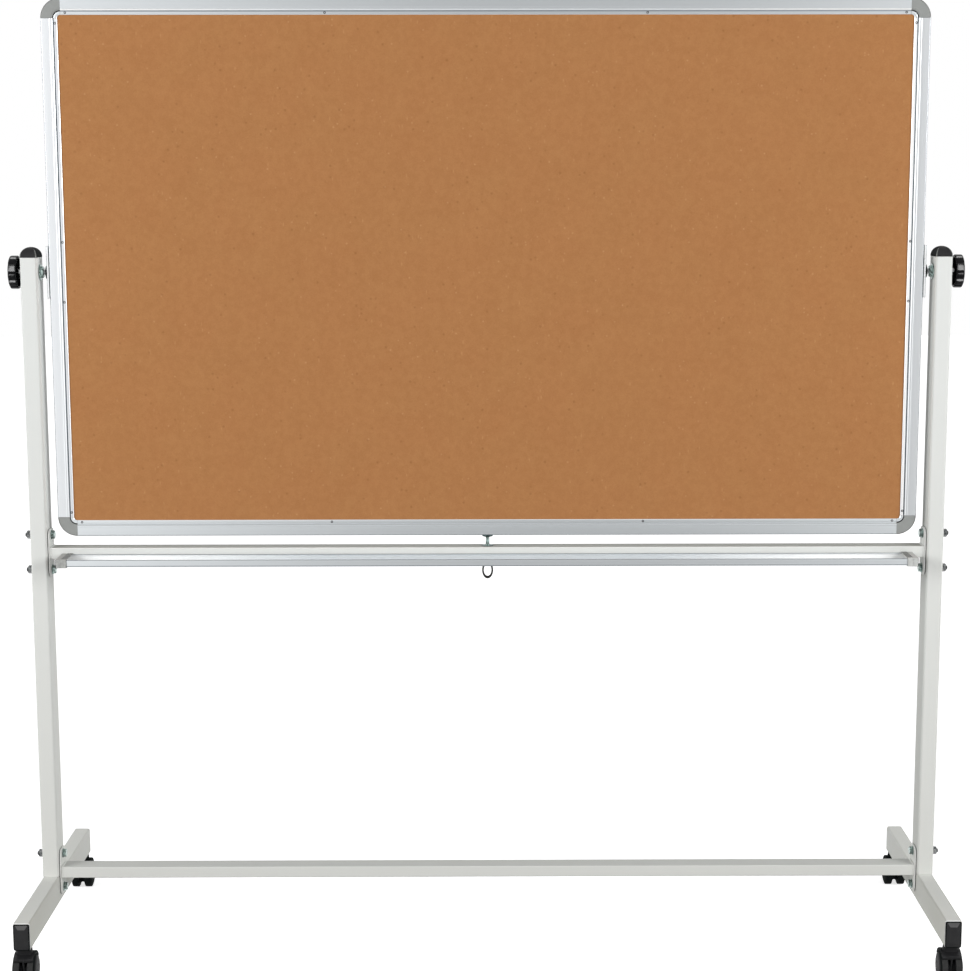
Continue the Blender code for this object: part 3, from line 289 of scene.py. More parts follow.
# %% A helper that starts a finish
def use_group(tree, group, vector, **values):
    """Places a shared effect in a material with its own values."""
    effect = add_node(tree, "Group", node_tree=group)
    for label, value in values.items():
        effect.inputs[label].default_value = value
    tree.links.new(vector, effect.inputs["Vector"])
    return effect.outputs[0]


def mixed(tree, factor, first, second):
    """Mixes two colours, or a colour on top of one that is already mixed."""
    mix = add_node(tree, "Mix", data_type="RGBA")
    tree.links.new(factor, mix.inputs["Factor"])
    for value, socket in ((first, mix.inputs["A"]), (second, mix.inputs["B"])):
        if isinstance(value, bpy.types.NodeSocket):
            tree.links.new(value, socket)
        else:
            socket.default_value = (*value, 1)
    return mix.outputs["Result"]


def between(tree, value, low, high):
    """Turns a 0 to 1 value into a range, for roughness."""
    span = add_node(tree, "MapRange", {"To Min": low, "To Max": high})
    tree.links.new(value, span.inputs["Value"])
    return span.outputs[0]


def finish_of(name, light, dark, roughness, metallic=0.0, stretch=(1, 1, 1), patch=8.0,
              contrast=1.6, grain=900.0, relief_strength=0.15, relief_depth=0.0002,
              specular=0.5):
    """Two tones, a drifting roughness and a fine relief, on object coordinates."""
    look = bpy.data.materials.new(name)
    look.use_nodes = True
    tree = look.node_tree
    shader = tree.nodes["Principled BSDF"]
    shader.inputs["Metallic"].default_value = metallic
    shader.inputs["Specular IOR Level"].default_value = specular
    place = add_node(tree, "TexCoord")
    pull = add_node(tree, "Mapping", {"Scale": stretch})
    tree.links.new(place.outputs["Object"], pull.inputs["Vector"])
    tone = use_group(tree, patches, pull.outputs[0], Scale=patch, Detail=4.0, Contrast=contrast)
    tree.links.new(mixed(tree, tone, light, dark), shader.inputs["Base Color"])
    drift = use_group(tree, patches, pull.outputs[0], Scale=patch * 6, Detail=3.0, Contrast=1.5)
    tree.links.new(between(tree, drift, *roughness), shader.inputs["Roughness"])
    bumps = use_group(tree, relief, pull.outputs[0], Scale=grain, Strength=relief_strength,
                      Depth=relief_depth)
    tree.links.new(bumps, shader.inputs["Normal"])
    return look, tree, shader, pull.outputs[0]


def tone_of(shader):
    """The colour that a finish has so far, to mix another layer over it."""
    return shader.inputs["Base Color"].links[0].from_socket


def coated(tree, shader, factor, colour):
    """Lays one more colour over a finish where the factor is high."""
    tree.links.new(mixed(tree, factor, tone_of(shader), colour), shader.inputs["Base Color"])


def ramp(tree, value, first, last, low=0.0, high=1.0):
    """Turns one range of a value into another, held at both ends."""
    span = add_node(tree, "MapRange", {"From Min": first, "From Max": last,
                                       "To Min": low, "To Max": high})
    tree.links.new(value, span.inputs["Value"])
    return span.outputs[0]


def axis_of(tree, vector, axis):
    """One coordinate of a vector."""
    split = add_node(tree, "SeparateXYZ")
    tree.links.new(vector, split.inputs[0])
    return split.outputs[axis]


# %% [markdown]
# The stand is powder coated: a pale grey with a faint orange-peel skin. Its colour is
# painted darker and warmer towards the floor, painted shade for the light that falls off
# lower down.

# %% Stand paint
stand_paint, tree, shader, spot = finish_of(
    "stand_paint", (0.820, 0.838, 0.818), (0.800, 0.816, 0.796), (0.58, 0.70), patch=5,
    grain=700, relief_strength=0.10, specular=0.15)
# painted shade: darker and warmer towards the floor, where less light reaches
coated(tree, shader, ramp(tree, axis_of(tree, spot, "Z"), 0.1, 1.25, 1.0, 0.0),
       (0.742, 0.749, 0.715))

# The feet take a darker copy of the stand paint, painted shade; it is painted lighter towards the
# rear end, painted light, and dark along the bottom edge, painted shade.
foot_paint_shaded, tree, shader, spot = finish_of(
    "foot_paint_shaded", (0.600, 0.602, 0.556), (0.582, 0.584, 0.540), (0.60, 0.72), patch=9,
    grain=700, relief_strength=0.10, specular=0.15)
FOOT_PAINTED_LIGHT, FOOT_PAINTED_SHADE = (0.690, 0.696, 0.664), (0.36, 0.36, 0.33)
for axis, first, last, colour in (("Y", STAND_Y - 0.20, STAND_Y + 0.24, FOOT_PAINTED_LIGHT),
                                  ("Z", 0.0685, 0.0655, FOOT_PAINTED_SHADE)):
    coated(tree, shader, ramp(tree, axis_of(tree, spot, axis), first, last), colour)

# Lit and shaded copies of the stand paint: a darker one for edges away from the light, painted
# shade; darker ones for the crossbars' tops, painted shade, the upper one being the board's painted
# shadow; a lighter one for the feet's tops, painted light; a darker one for the right post's inner
# side, painted shade; and a white one for edges, a painted highlight.
PAINT = dict(grain=700, specular=0.1)
paint_shade = finish_of(
    "paint_shade", (0.50, 0.51, 0.47), (0.40, 0.41, 0.38), (0.6, 0.75), patch=40, **PAINT)[0]
paint_top_shade = finish_of(
    "paint_top_shade", (0.66, 0.667, 0.638), (0.630, 0.636, 0.608), (0.65, 0.80), patch=30, **PAINT)[0]
foot_top_lit = finish_of(
    "foot_top_lit", (0.765, 0.772, 0.735), (0.745, 0.752, 0.715), (0.62, 0.75), patch=9, grain=700,
    specular=0.15)[0]
paint_flank_shade = finish_of(
    "paint_flank_shade", (0.640, 0.650, 0.622), (0.622, 0.632, 0.604), (0.62, 0.75), patch=5, **PAINT)[0]
paint_board_shadow = finish_of(
    "paint_board_shadow", (0.575, 0.570, 0.535), (0.530, 0.525, 0.490), (0.7, 0.85), patch=30, **PAINT)[0]
edge_highlight = finish_of(
    "edge_highlight", (0.98, 0.98, 0.96), (0.95, 0.95, 0.93), (0.45, 0.6), patch=60, grain=700)[0]

# %% [markdown]
# The frame is satin anodised aluminium. The die leaves fine lines along each rail, so the
# pattern is drawn out along the rail: one finish for level rails and one for uprights.

# %% Aluminium for level and upright rails
DIE_LINES = dict(patch=420, contrast=1.2, grain=1500, relief_strength=0.05)
LEVEL = dict(stretch=(0.0015, 1, 1), **DIE_LINES)
UPRIGHT = dict(stretch=(1, 1, 0.0015), **DIE_LINES)
SATIN, DULL = (0.27, 0.33), (0.34, 0.44)
level_aluminium = finish_of(
    "level_aluminium", (0.765, 0.800, 0.820), (0.725, 0.760, 0.780), SATIN, 1.0, **LEVEL)[0]
upright_aluminium = finish_of(
    "upright_aluminium", (0.80, 0.82, 0.84), (0.76, 0.78, 0.80), SATIN, 1.0, **UPRIGHT)[0]
# Copies painted with light: a darker bevel for the bottom rail and darker top and right rails,
# painted shade for what they reflect, and a white lip for the right rail, a painted highlight.
level_mid_shade = finish_of(
    "level_mid_shade", (0.46, 0.48, 0.49), (0.42, 0.44, 0.45), (0.30, 0.40), 1.0, **LEVEL)[0]
level_top_shaded = finish_of(
    "level_top_shaded", (0.690, 0.720, 0.738), (0.650, 0.680, 0.700), SATIN, 1.0, **LEVEL)[0]
upright_dim_shade = finish_of(
    "upright_dim_shade", (0.700, 0.720, 0.735), (0.660, 0.680, 0.695), SATIN, 1.0, **UPRIGHT)[0]
upright_highlight = finish_of(
    "upright_highlight", (0.98, 0.98, 0.97), (0.95, 0.95, 0.94), (0.36, 0.44), 0.1, **UPRIGHT)[0]
level_shade = finish_of(
    "level_shade", (0.34, 0.37, 0.40), (0.27, 0.29, 0.31), DULL, 1.0, **LEVEL)[0]
upright_shade = finish_of(
    "upright_shade", (0.16, 0.18, 0.20), (0.11, 0.12, 0.13), DULL, 1.0, **UPRIGHT)[0]

# %% The top rail's bevel, a painted highlight that is whiter towards its ends
level_highlight, tree, shader, spot = finish_of(
    "level_highlight", (0.87, 0.90, 0.92), (0.82, 0.85, 0.87), (0.36, 0.44), 0.85, **LEVEL)
distance = add_node(tree, "Math", operation="ABSOLUTE")
whole_place = tree.nodes["Texture Coordinate"].outputs["Object"]
tree.links.new(axis_of(tree, whole_place, "X"), distance.inputs[0])
near_end = ramp(tree, distance.outputs[0], 0.30, 0.60)
coated(tree, shader, near_end, (0.97, 0.97, 0.96))
tree.links.new(between(tree, near_end, 0.85, 0.15), shader.inputs["Metallic"])

# %% [markdown]
# Corners and tray ends are grey mouldings with a fine grain. Knobs, caps and casters are
# black mouldings: the caps are smoother and the wheels duller, with a little dust.

# %% Plastics
GREY = dict(grain=1600, relief_strength=0.3)
BLACK = dict(patch=70, grain=1400, relief_strength=0.22)
RUBBED = (0.40, 0.55)
grey_moulding = finish_of(
    "grey_moulding", (0.315, 0.325, 0.315), (0.275, 0.285, 0.275), (0.38, 0.52), patch=60,
    grain=1600, relief_strength=0.25)[0]
tray_moulding = finish_of(
    "tray_moulding", (0.50, 0.51, 0.49), (0.27, 0.28, 0.27), RUBBED, patch=180, contrast=2.0,
    **GREY)[0]
# A lighter copy of the tray-end moulding for the right end, painted light.
pale_moulding_lit = finish_of(
    "pale_moulding_lit", (0.66, 0.67, 0.65), (0.46, 0.47, 0.46), RUBBED, patch=180, contrast=2.0,
    **GREY)[0]
# Dark grey: painted shade in the tray ends' mouths, and a painted highlight on the post caps' hips.
mouth_shade_hip_highlight = finish_of(
    "mouth_shade_hip_highlight", (0.22, 0.23, 0.22), (0.09, 0.095, 0.09), RUBBED, patch=240, contrast=2.5,
    **GREY)[0]
black_moulding = finish_of(
    "black_moulding", (0.019, 0.019, 0.020), (0.012, 0.012, 0.013), (0.30, 0.40), specular=0.07,
    **BLACK)[0]
cap_moulding = finish_of(
    "cap_moulding", (0.044, 0.044, 0.045), (0.030, 0.030, 0.031), (0.30, 0.40), specular=0.02,
    **BLACK)[0]
# A lighter black for the front treads, painted light.
tread_lit_black = finish_of(
    "tread_lit_black", (0.050, 0.050, 0.050), (0.030, 0.030, 0.030), (0.45, 0.60), patch=160,
    grain=1100, relief_strength=0.3, specular=0.03)[0]
knob_moulding = finish_of(
    "knob_moulding", (0.007, 0.007, 0.008), (0.004, 0.004, 0.005), (0.14, 0.20), patch=70,
    grain=1400, relief_strength=0.10, specular=0.08)[0]
# A lighter black for the foot caps' top bevels, a painted highlight.
black_top_highlight = finish_of(
    "black_top_highlight", (0.125, 0.125, 0.126), (0.085, 0.085, 0.086), (0.40, 0.52), patch=120,
    grain=1400, relief_strength=0.20, specular=0.1)[0]
# Near black: the friction washers and the knobs' matt end faces, and also painted shade on caps,
# crossbar plates, tray ends and casters.
matt_black_and_shade = finish_of(
    "matt_black_and_shade", (0.010, 0.012, 0.012), (0.004, 0.005, 0.005), (0.6, 0.75), patch=200,
    specular=0.02)[0]
wheel_moulding, tree, shader, spot = finish_of(
    "wheel_moulding", (0.010, 0.010, 0.011), (0.005, 0.005, 0.006), (0.36, 0.50), patch=90,
    grain=1100, relief_strength=0.3, specular=0.05)
dust = use_group(tree, flecks, spot, Scale=420.0, Share=0.10, Size=0.5)
coated(tree, shader, dust, (0.05, 0.049, 0.047))

# %% [markdown]
# Zinc plate has a blue-green passivation film that changes tone over a few millimetres.
# The pivot plates are bare satin steel, and the spring and ring are drawn wire.

# %% Metals
PLATED = dict(metallic=1.0, grain=1500, relief_strength=0.12)
zinc_plate_and_glint, tree, shader, spot = finish_of(
    "zinc_plate_and_glint", (0.50, 0.64, 0.62), (0.010, 0.034, 0.038), (0.16, 0.30), patch=230,
    contrast=4.0, **PLATED)
film = use_group(tree, patches, spot, Scale=420.0, Detail=2.0, Contrast=2.5)
coated(tree, shader, between(tree, film, 0.0, 0.3), (0.50, 0.52, 0.44))
nut_steel = finish_of(
    "nut_steel", (0.30, 0.31, 0.31), (0.030, 0.034, 0.035), (0.24, 0.36), patch=260,
    contrast=3.0, **PLATED)[0]
# A darker copy of the zinc, painted shade, for the lock's bushes and pin and for chamfers and
# bevelled edges.
zinc_in_shade = finish_of(
    "zinc_in_shade", (0.20, 0.27, 0.26), (0.035, 0.060, 0.062), (0.20, 0.34), patch=260,
    contrast=3.0, **PLATED)[0]
satin_steel = finish_of(
    "satin_steel", (0.94, 0.94, 0.95), (0.86, 0.87, 0.88), (0.24, 0.36), metallic=0.7,
    stretch=(1, 1, 0.1), patch=220, grain=1500, relief_strength=0.1)[0]
spring_wire = finish_of(
    "spring_wire", (0.48, 0.48, 0.50), (0.36, 0.36, 0.38), (0.28, 0.42), 1.0, patch=300)[0]
ring_wire = finish_of(
    "ring_wire", (0.060, 0.058, 0.056), (0.012, 0.012, 0.012), (0.30, 0.42), 1.0, patch=220)[0]

# %% [markdown]
# ## Cork
# Pressed cork is ground into fine granules, so from a few metres it is an even warm brown
# with soft blotches, a few dark bark flecks and a few pale ones. Voronoi cells give the
# granules their own tones, and noise softens them.

# %% Cork finish
cork, tree, shader, spot = finish_of(
    "cork", (0.476, 0.221, 0.083), (0.428, 0.196, 0.071), (0.74, 0.92), patch=26, contrast=1.3,
    grain=620, relief_strength=0.35, relief_depth=0.0004, specular=0.15)
granules = add_node(tree, "TexVoronoi", {"Scale": 520.0})
lots = add_node(tree, "SeparateColor")
strokes = add_node(tree, "Mapping", {"Scale": (1, 1, 0.38), "Rotation": (0, 0.35, 0)})
wire(tree, (spot, granules.inputs["Vector"]), (granules.outputs["Color"], lots.inputs["Color"]),
     (spot, strokes.inputs["Vector"]))
bark = use_group(tree, flecks, spot, Scale=120.0, Share=0.060, Size=0.42)
pale = use_group(tree, flecks, spot, Scale=150.0, Share=0.040, Size=0.38)
chips = use_group(tree, flecks, strokes.outputs[0], Scale=210.0, Share=0.045, Size=0.42)
blush = use_group(tree, patches, spot, Scale=13.0, Detail=2.0, Contrast=4.0)
clumps = use_group(tree, patches, spot, Scale=85.0, Detail=3.0, Contrast=5.0)
for layer, share, colour in (
        (lots.outputs[0], 0.18, (0.36, 0.150, 0.052)),
        (lots.outputs[1], 0.13, (0.60, 0.300, 0.130)),
        (bark, 0.45, (0.25, 0.100, 0.036)), (pale, 0.45, (0.66, 0.390, 0.190)),
        (chips, 0.40, (0.62, 0.34, 0.150)), (blush, 0.05, (0.56, 0.180, 0.075)),
        (clumps, 0.14, (0.30, 0.110, 0.036))):
    coated(tree, shader, between(tree, layer, 0.0, share), colour)

# %% [markdown]
# The other face is steel with a hard white coat. It is glossy, and wiping leaves faint
# hazy arcs, which only show as a change in gloss. The core is pressed fibre board.

# %% White writing face and the core
writing_coat, tree, shader, spot = finish_of(
    "writing_coat", (0.870, 0.880, 0.885), (0.845, 0.855, 0.862), (0.06, 0.16), patch=4,
    contrast=1.8, grain=300, relief_strength=0.02, relief_depth=0.0001)
shader.inputs["Coat Weight"].default_value = 0.4
shader.inputs["Coat Roughness"].default_value = 0.04
fibre_board = finish_of(
    "fibre_board", (0.52, 0.40, 0.25), (0.40, 0.29, 0.17), (0.7, 0.9), patch=300, grain=900,
    relief_strength=0.4)[0]
print(len(bpy.data.materials), "materials")

# %% [markdown]
# The three sheets of the panel are flat and already right in the model, so they stay and
# take their finishes. So does the spring, which is hidden in the crossbar.

# %% Finishes on the model's own pieces
def dress(node, look):
    """Gives a piece of the model a finish without touching its shape."""
    piece = frame["nodes"][node]
    if not piece.material_slots:
        piece.data.materials.append(look)
    for socket in piece.material_slots:
        socket.material = look


kept = {"cork_sheet": cork, "writing_sheet": writing_coat, "board_core": fibre_board,
        "lock_spring": spring_wire}
for node_name, look in kept.items():
    dress(node_name, look)
    rear_side.objects.link(frame["nodes"][node_name])
print("kept from the model:", ", ".join(kept))

# %% [markdown]
# ## Tools for shaping
# Three ways of making cover this object. An oblong starts as a plane with rounded corners
# and is drawn up through stations: tubes, caps and plates. A turned piece starts as a
# circle and is drawn out as on a lathe: washers, pins and wheels. A drawn piece starts as
# one point that is walked round an outline: extruded and moulded sections.

# %% Selecting and placing
def only(piece):
    """Leaves edit mode and selects just this piece."""
    if bpy.context.mode != "OBJECT":
        bpy.ops.object.mode_set(mode="OBJECT")
    bpy.ops.object.select_all(action="DESELECT")
    if piece:
        piece.select_set(True)
        bpy.context.view_layer.objects.active = piece


def begin(name):
    """Names the primitive that was just added and opens it for editing."""
    piece = bpy.context.active_object
    piece.name = piece.data.name = name
    bpy.ops.object.mode_set(mode="EDIT")
    bpy.ops.mesh.select_mode(type="VERT")
    bpy.ops.mesh.select_all(action="SELECT")
    return piece


def close_up(piece):
    """Welds doubled points, turns the faces outwards and leaves edit mode."""
    bpy.ops.mesh.select_all(action="SELECT")
    bpy.ops.mesh.remove_doubles(threshold=0.000005)
    bpy.ops.mesh.normals_make_consistent(inside=False)
    bpy.ops.object.mode_set(mode="OBJECT")
    return piece


def place(piece, origin=(0, 0, 0), across=(1, 0, 0), up=(0, 1, 0)):
    """Points the piece's own X and Y along two directions, moves it, and applies that."""
    across, up = Vector(across), Vector(up)
    turn = Matrix((across, up, across.cross(up))).transposed().to_4x4()
    piece.matrix_world = Matrix.Translation(Vector(origin)) @ turn
    only(piece)
    bpy.ops.object.transform_apply(location=True, rotation=True, scale=True)
    return piece


def outwards(piece, sign, origin=(0, 0, 0)):
    """Points a piece's own Z to the left (-1) or right (1), with its own Y upwards."""
    return place(piece, origin, (0, sign, 0), (0, 0, 1))


def copied(piece, name):
    """A copy with a mesh of its own."""
    only(piece)
    bpy.ops.object.duplicate(linked=False)
    twin = bpy.context.active_object
    twin.name = twin.data.name = name
    return twin


# %% Softening edges, joining, and fitting to a body
def softened(piece, width, segments=2, angle=35):
    """Rounds the sharp edges by a given width."""
    only(piece)
    bevel = piece.modifiers.new("soft_edges", "BEVEL")
    bevel.width, bevel.segments = width, segments
    bevel.limit_method, bevel.angle_limit = "ANGLE", math.radians(angle)
    bevel.use_clamp_overlap = True
    bpy.ops.object.modifier_apply(modifier=bevel.name)
    return piece


def joined(name, *parts):
    """Joins parts into one piece."""
    only(parts[0])
    for part in parts[1:]:
        part.select_set(True)
    bpy.ops.object.join()
    parts[0].name = parts[0].data.name = name
    return parts[0]


def fitted(piece, look, body, *nodes, angle=32):
    """Shades a piece, gives it its finish, and lets it stand for nodes of the model."""
    only(piece)
    bpy.ops.object.shade_smooth_by_angle(angle=math.radians(angle))
    even = piece.modifiers.new("even_normals", "WEIGHTED_NORMAL")
    even.keep_sharp = True
    bpy.ops.object.modifier_apply(modifier=even.name)
    piece.data.materials.clear()
    piece.data.materials.append(look)
    rear_side.objects.link(piece)
    if look == knob_moulding:
        glossy_black.objects.link(piece)
    if look in (black_moulding, wheel_moulding):
        plain_black.objects.link(piece)
    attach(piece, body)
    if nodes:
        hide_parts(*nodes)
    return piece


def second_look(piece, look, chosen):
    """Gives another finish to the faces that pass a test."""
    piece.data.materials.append(look)
    faces = [face for face in piece.data.polygons if chosen(face)]
    for face in faces:
        face.material_index = len(piece.data.materials) - 1
    return len(faces)


def combined(piece, tool, operation):
    """Cuts a piece with a tool, or keeps where they overlap; the tool is used up."""
    only(piece)
    cut = piece.modifiers.new("cut", "BOOLEAN")
    cut.operation, cut.solver, cut.object = operation, "EXACT", tool
    bpy.ops.object.modifier_apply(modifier=cut.name)
    bpy.data.objects.remove(tool)
    return piece


def scaled_points(piece, chosen, scale):
    """Scales the points that pass a test towards the piece's origin, and stays in edit mode."""
    only(piece)
    bpy.ops.object.mode_set(mode="EDIT")
    bpy.ops.mesh.select_mode(type="VERT")
    bpy.ops.mesh.select_all(action="DESELECT")
    bpy.ops.object.mode_set(mode="OBJECT")
    for corner in piece.data.vertices:
        corner.select = chosen(corner.co)
    bpy.ops.object.mode_set(mode="EDIT")
    bpy.ops.transform.resize(value=scale, center_override=(0, 0, 0))


# %% Oblong pieces
def draw_up(height, width, depth, stations):
    """Extrudes what is selected through stations of (height, width, depth)."""
    for next_height, next_width, next_depth in stations:
        rise = {"value": (0, 0, next_height - height)}
        bpy.ops.mesh.extrude_region_move(TRANSFORM_OT_translate=rise)
        bpy.ops.transform.resize(value=(next_width / width, next_depth / depth, 1),
                                 center_override=(0, 0, next_height))
        height, width, depth = next_height, next_width, next_depth


def oblong(name, corner, stations, segments=5):
    """A plane with rounded corners, drawn up through stations of (height, width, depth)."""
    only(None)
    height, width, depth = stations[0]
    bpy.ops.mesh.primitive_plane_add(size=1)
    piece = begin(name)
    bpy.ops.transform.resize(value=(width, depth, 1), center_override=(0, 0, 0))
    bpy.ops.transform.translate(value=(0, 0, height))
    bpy.ops.mesh.bevel(affect="VERTICES", offset=corner, segments=segments)
    bpy.ops.mesh.select_all(action="SELECT")
    draw_up(height, width, depth, stations[1:])
    return close_up(piece)


# %% Turned pieces
def turned(name, stations, sides=48, ring=False):
    """A circle drawn out along Z through stations of (height, radius), as on a lathe."""
    only(None)
    height, radius = stations[0]
    bpy.ops.mesh.primitive_circle_add(vertices=sides, radius=radius, location=(0, 0, 0),
                                      fill_type="NOTHING" if ring else "NGON")
    piece = begin(name)
    bpy.ops.transform.translate(value=(0, 0, height))
    rest = stations[1:] + (stations[:1] if ring else [])
    draw_up(height, radius, radius, [(h, r, r) for h, r in rest])
    return close_up(piece)


# %% Drawn pieces
def drawn(name, points):
    """Walks one point round an outline in the X-Y plane and fills it."""
    only(None)
    bpy.ops.mesh.primitive_plane_add(size=0.001)
    piece = begin(name)
    bpy.ops.mesh.merge(type="CENTER")
    bpy.ops.transform.translate(value=(*points[0], 0))
    for (x0, y0), (x1, y1) in zip(points, points[1:]):
        step = {"value": (x1 - x0, y1 - y0, 0)}
        bpy.ops.mesh.extrude_vertices_move(TRANSFORM_OT_translate=step)
    bpy.ops.mesh.select_all(action="SELECT")
    bpy.ops.mesh.edge_face_add()
    bpy.ops.mesh.select_mode(type="FACE")
    bpy.ops.mesh.select_all(action="SELECT")
    return piece


def pulled(piece, start, end):
    """Draws a filled outline out along Z from start to end."""
    bpy.ops.transform.translate(value=(0, 0, start))
    bpy.ops.mesh.extrude_region_move(TRANSFORM_OT_translate={"value": (0, 0, end - start)})
    return close_up(piece)


def arc_points(centre_x, centre_y, radius, start, end, steps):
    """Points of an arc, angles in degrees."""
    angles = [math.radians(start + (end - start) * i / steps) for i in range(steps + 1)]
    return [(centre_x + radius * math.cos(a), centre_y + radius * math.sin(a)) for a in angles]


# %% [markdown]
# ## Frame rails
# Each rail is one extruded section: a round outer edge, a flat band, a bevel down to a
# narrow shadow groove, and a lip that holds the panel. The section is drawn once, as
# (distance inwards, distance forwards), and mirrored for the back.

# %% The rail's section
RAIL_HALF = 0.010
RAIL_REACH = 0.0276
SLOT_FACE, SLOT_FLOOR = 0.0068, 0.0150
front_line = (
    arc_points(0.0016, RAIL_HALF - 0.0016, 0.0016, 180, 90, 6)
    + [(0.0146, RAIL_HALF), (0.0150, RAIL_HALF - 0.0002), (0.0154, RAIL_HALF),
       (0.0174, RAIL_HALF), (0.0180, RAIL_HALF - 0.0002),
       (0.0202, RAIL_HALF - 0.0013), (0.0204, RAIL_HALF - 0.0024),
       (0.0221, RAIL_HALF - 0.0024), (0.0223, RAIL_HALF - 0.0014),
       (0.0227, RAIL_HALF - 0.0012), (0.0262, RAIL_HALF - 0.0013),
       (0.0270, RAIL_HALF - 0.0016), (RAIL_REACH, RAIL_HALF - 0.0023),
       (RAIL_REACH, SLOT_FACE), (SLOT_FLOOR, SLOT_FACE)]
)
rail_outline = front_line + [(u, -v) for u, v in reversed(front_line)]

# %% Rails
CORNER_REACH, JOINT_GAP = 0.033, 0.0004
DRILL_RADIUS = 0.0063
GROOVE_START, GROOVE_END = 0.0202, 0.0226
# The top and right rails take darker copies of the aluminium, painted shade.
rail_looks = {"left": upright_aluminium, "right": upright_dim_shade,
              "top": level_top_shaded, "bottom": level_aluminium}
groove_looks = {"left": upright_shade, "right": upright_shade,
                "top": level_shade, "bottom": level_shade}
rail_places = {
    "left": ((-HALF_WIDTH, STAND_Y, PIVOT_Z), (1, 0, 0), (0, 1, 0), HALF_HEIGHT),
    "right": ((HALF_WIDTH, STAND_Y, PIVOT_Z), (-1, 0, 0), (0, -1, 0), HALF_HEIGHT),
    "top": ((0, STAND_Y, PIVOT_Z + HALF_HEIGHT), (0, 0, -1), (0, 1, 0), HALF_WIDTH),
    "bottom": ((0, STAND_Y, PIVOT_Z - HALF_HEIGHT), (0, 0, 1), (0, 1, 0), HALF_WIDTH),
}


def in_shade(depth, forwards, groove=True):
    """True in the section's narrow groove and on its outer corner, which take painted shade."""
    in_groove = GROOVE_START < depth < GROOVE_END and 0.007 < forwards < 0.0092
    on_corner = depth < 0.0013 and forwards > 0.0075
    return (groove and in_groove) or on_corner


def inwards(face):
    """How far a face lies from the frame's outer edge."""
    return (face.center - Vector(origin)).dot(Vector(across))


for edge, (origin, across, up, half) in rail_places.items():
    reach = half - CORNER_REACH - JOINT_GAP
    rail = pulled(drawn("rail_" + edge + "_section", rail_outline), -reach, reach)
    place(rail, origin, across, up)
    if edge in ("top", "bottom"):
        drill = turned("drill", [(-0.001, DRILL_RADIUS), (0.0125, DRILL_RADIUS)], sides=32)
        place(drill, origin, (1, 0, 0), (0, across[2], 0))
        combined(rail, drill, "DIFFERENCE")
    fitted(rail, rail_looks[edge], "board", "rail_" + edge)
    # Painted shade in the narrow groove and along the outer corner.
    shaded = second_look(rail, groove_looks[edge], lambda face: in_shade(
        inwards(face), abs(face.center.y - STAND_Y), edge != "bottom"))
    # The bevel is painted darker on the bottom rail and whiter on the top rail, painted reflection.
    if edge in ("top", "bottom"):
        second_look(rail, level_mid_shade if edge == "bottom" else level_highlight,
                    lambda face: 0.018 < inwards(face) < 0.0203)
    # The right rail's lip is painted white, a painted highlight.
    if edge == "right":
        second_look(rail, upright_highlight, lambda face: GROOVE_END < inwards(face) < 0.0262)
print("four rails,", len(rail_outline), "points in the section,", shaded, "groove faces on each")

# %% [markdown]
# ## Frame corners
# The moulded corners carry the same section round a quarter turn, so the outline is spun
# about the centre of the corner. A hairline gap is left at each joint, as on the real one.

# %% Corners
def corner_piece(name):
    """The rail's outline spun through a quarter turn about Y."""
    piece = drawn(name, [(CORNER_REACH - u, v) for u, v in rail_outline])
    bpy.ops.mesh.spin(steps=16, angle=math.radians(90), center=(0, 0, 0), axis=(0, 1, 0))
    return close_up(piece)


def below_edge(face, centre):
    """How far a corner's face lies from its round outer edge."""
    return CORNER_REACH - math.hypot(face.center.x - centre[0], face.center.z - centre[2])


LIP_START = 0.02225
corner_model = corner_piece("corner_model")
corner_turns = {
    "top_right": ((1, 0, 0), 1, 1), "bottom_right": ((0, 0, -1), 1, -1),
    "bottom_left": ((-1, 0, 0), -1, -1), "top_left": ((0, 0, 1), -1, 1),
}
for name, (across, side, rise) in corner_turns.items():
    corner = copied(corner_model, "corner_" + name + "_moulding")
    centre_point = (side * (HALF_WIDTH - CORNER_REACH), STAND_Y,
                    PIVOT_Z + rise * (HALF_HEIGHT - CORNER_REACH))
    place(corner, centre_point, across, (0, 1, 0))
    fitted(corner, grey_moulding, "board", "corner_" + name)
    # Painted shade in the groove and along the outer corner, in the near-black wire finish.
    second_look(corner, ring_wire, lambda face: in_shade(
        below_edge(face, centre_point), abs(face.center.y - STAND_Y)))
    second_look(corner, level_aluminium, lambda face: LIP_START < below_edge(face, centre_point)
                and abs(face.center.y - STAND_Y) > 0.0078)
bpy.data.objects.remove(corner_model)
print("four corners")

# %% [markdown]
# Small countersunk screws sit in the lip: two by each corner, two along the top and
# bottom, and two beside each pivot plate.

# %% Lip screws
def lip_screw(name):
    """A flat screw head, drawn towards -Y."""
    head = turned(name, [(-0.0010, 0.0011), (0.0001, 0.0021), (0.0003, 0.0020), (0.0004, 0.0010),
                         (-0.0002, 0.0008)], sides=20)
    return place(head, (0, 0, 0), (1, 0, 0), (0, 0, 1))


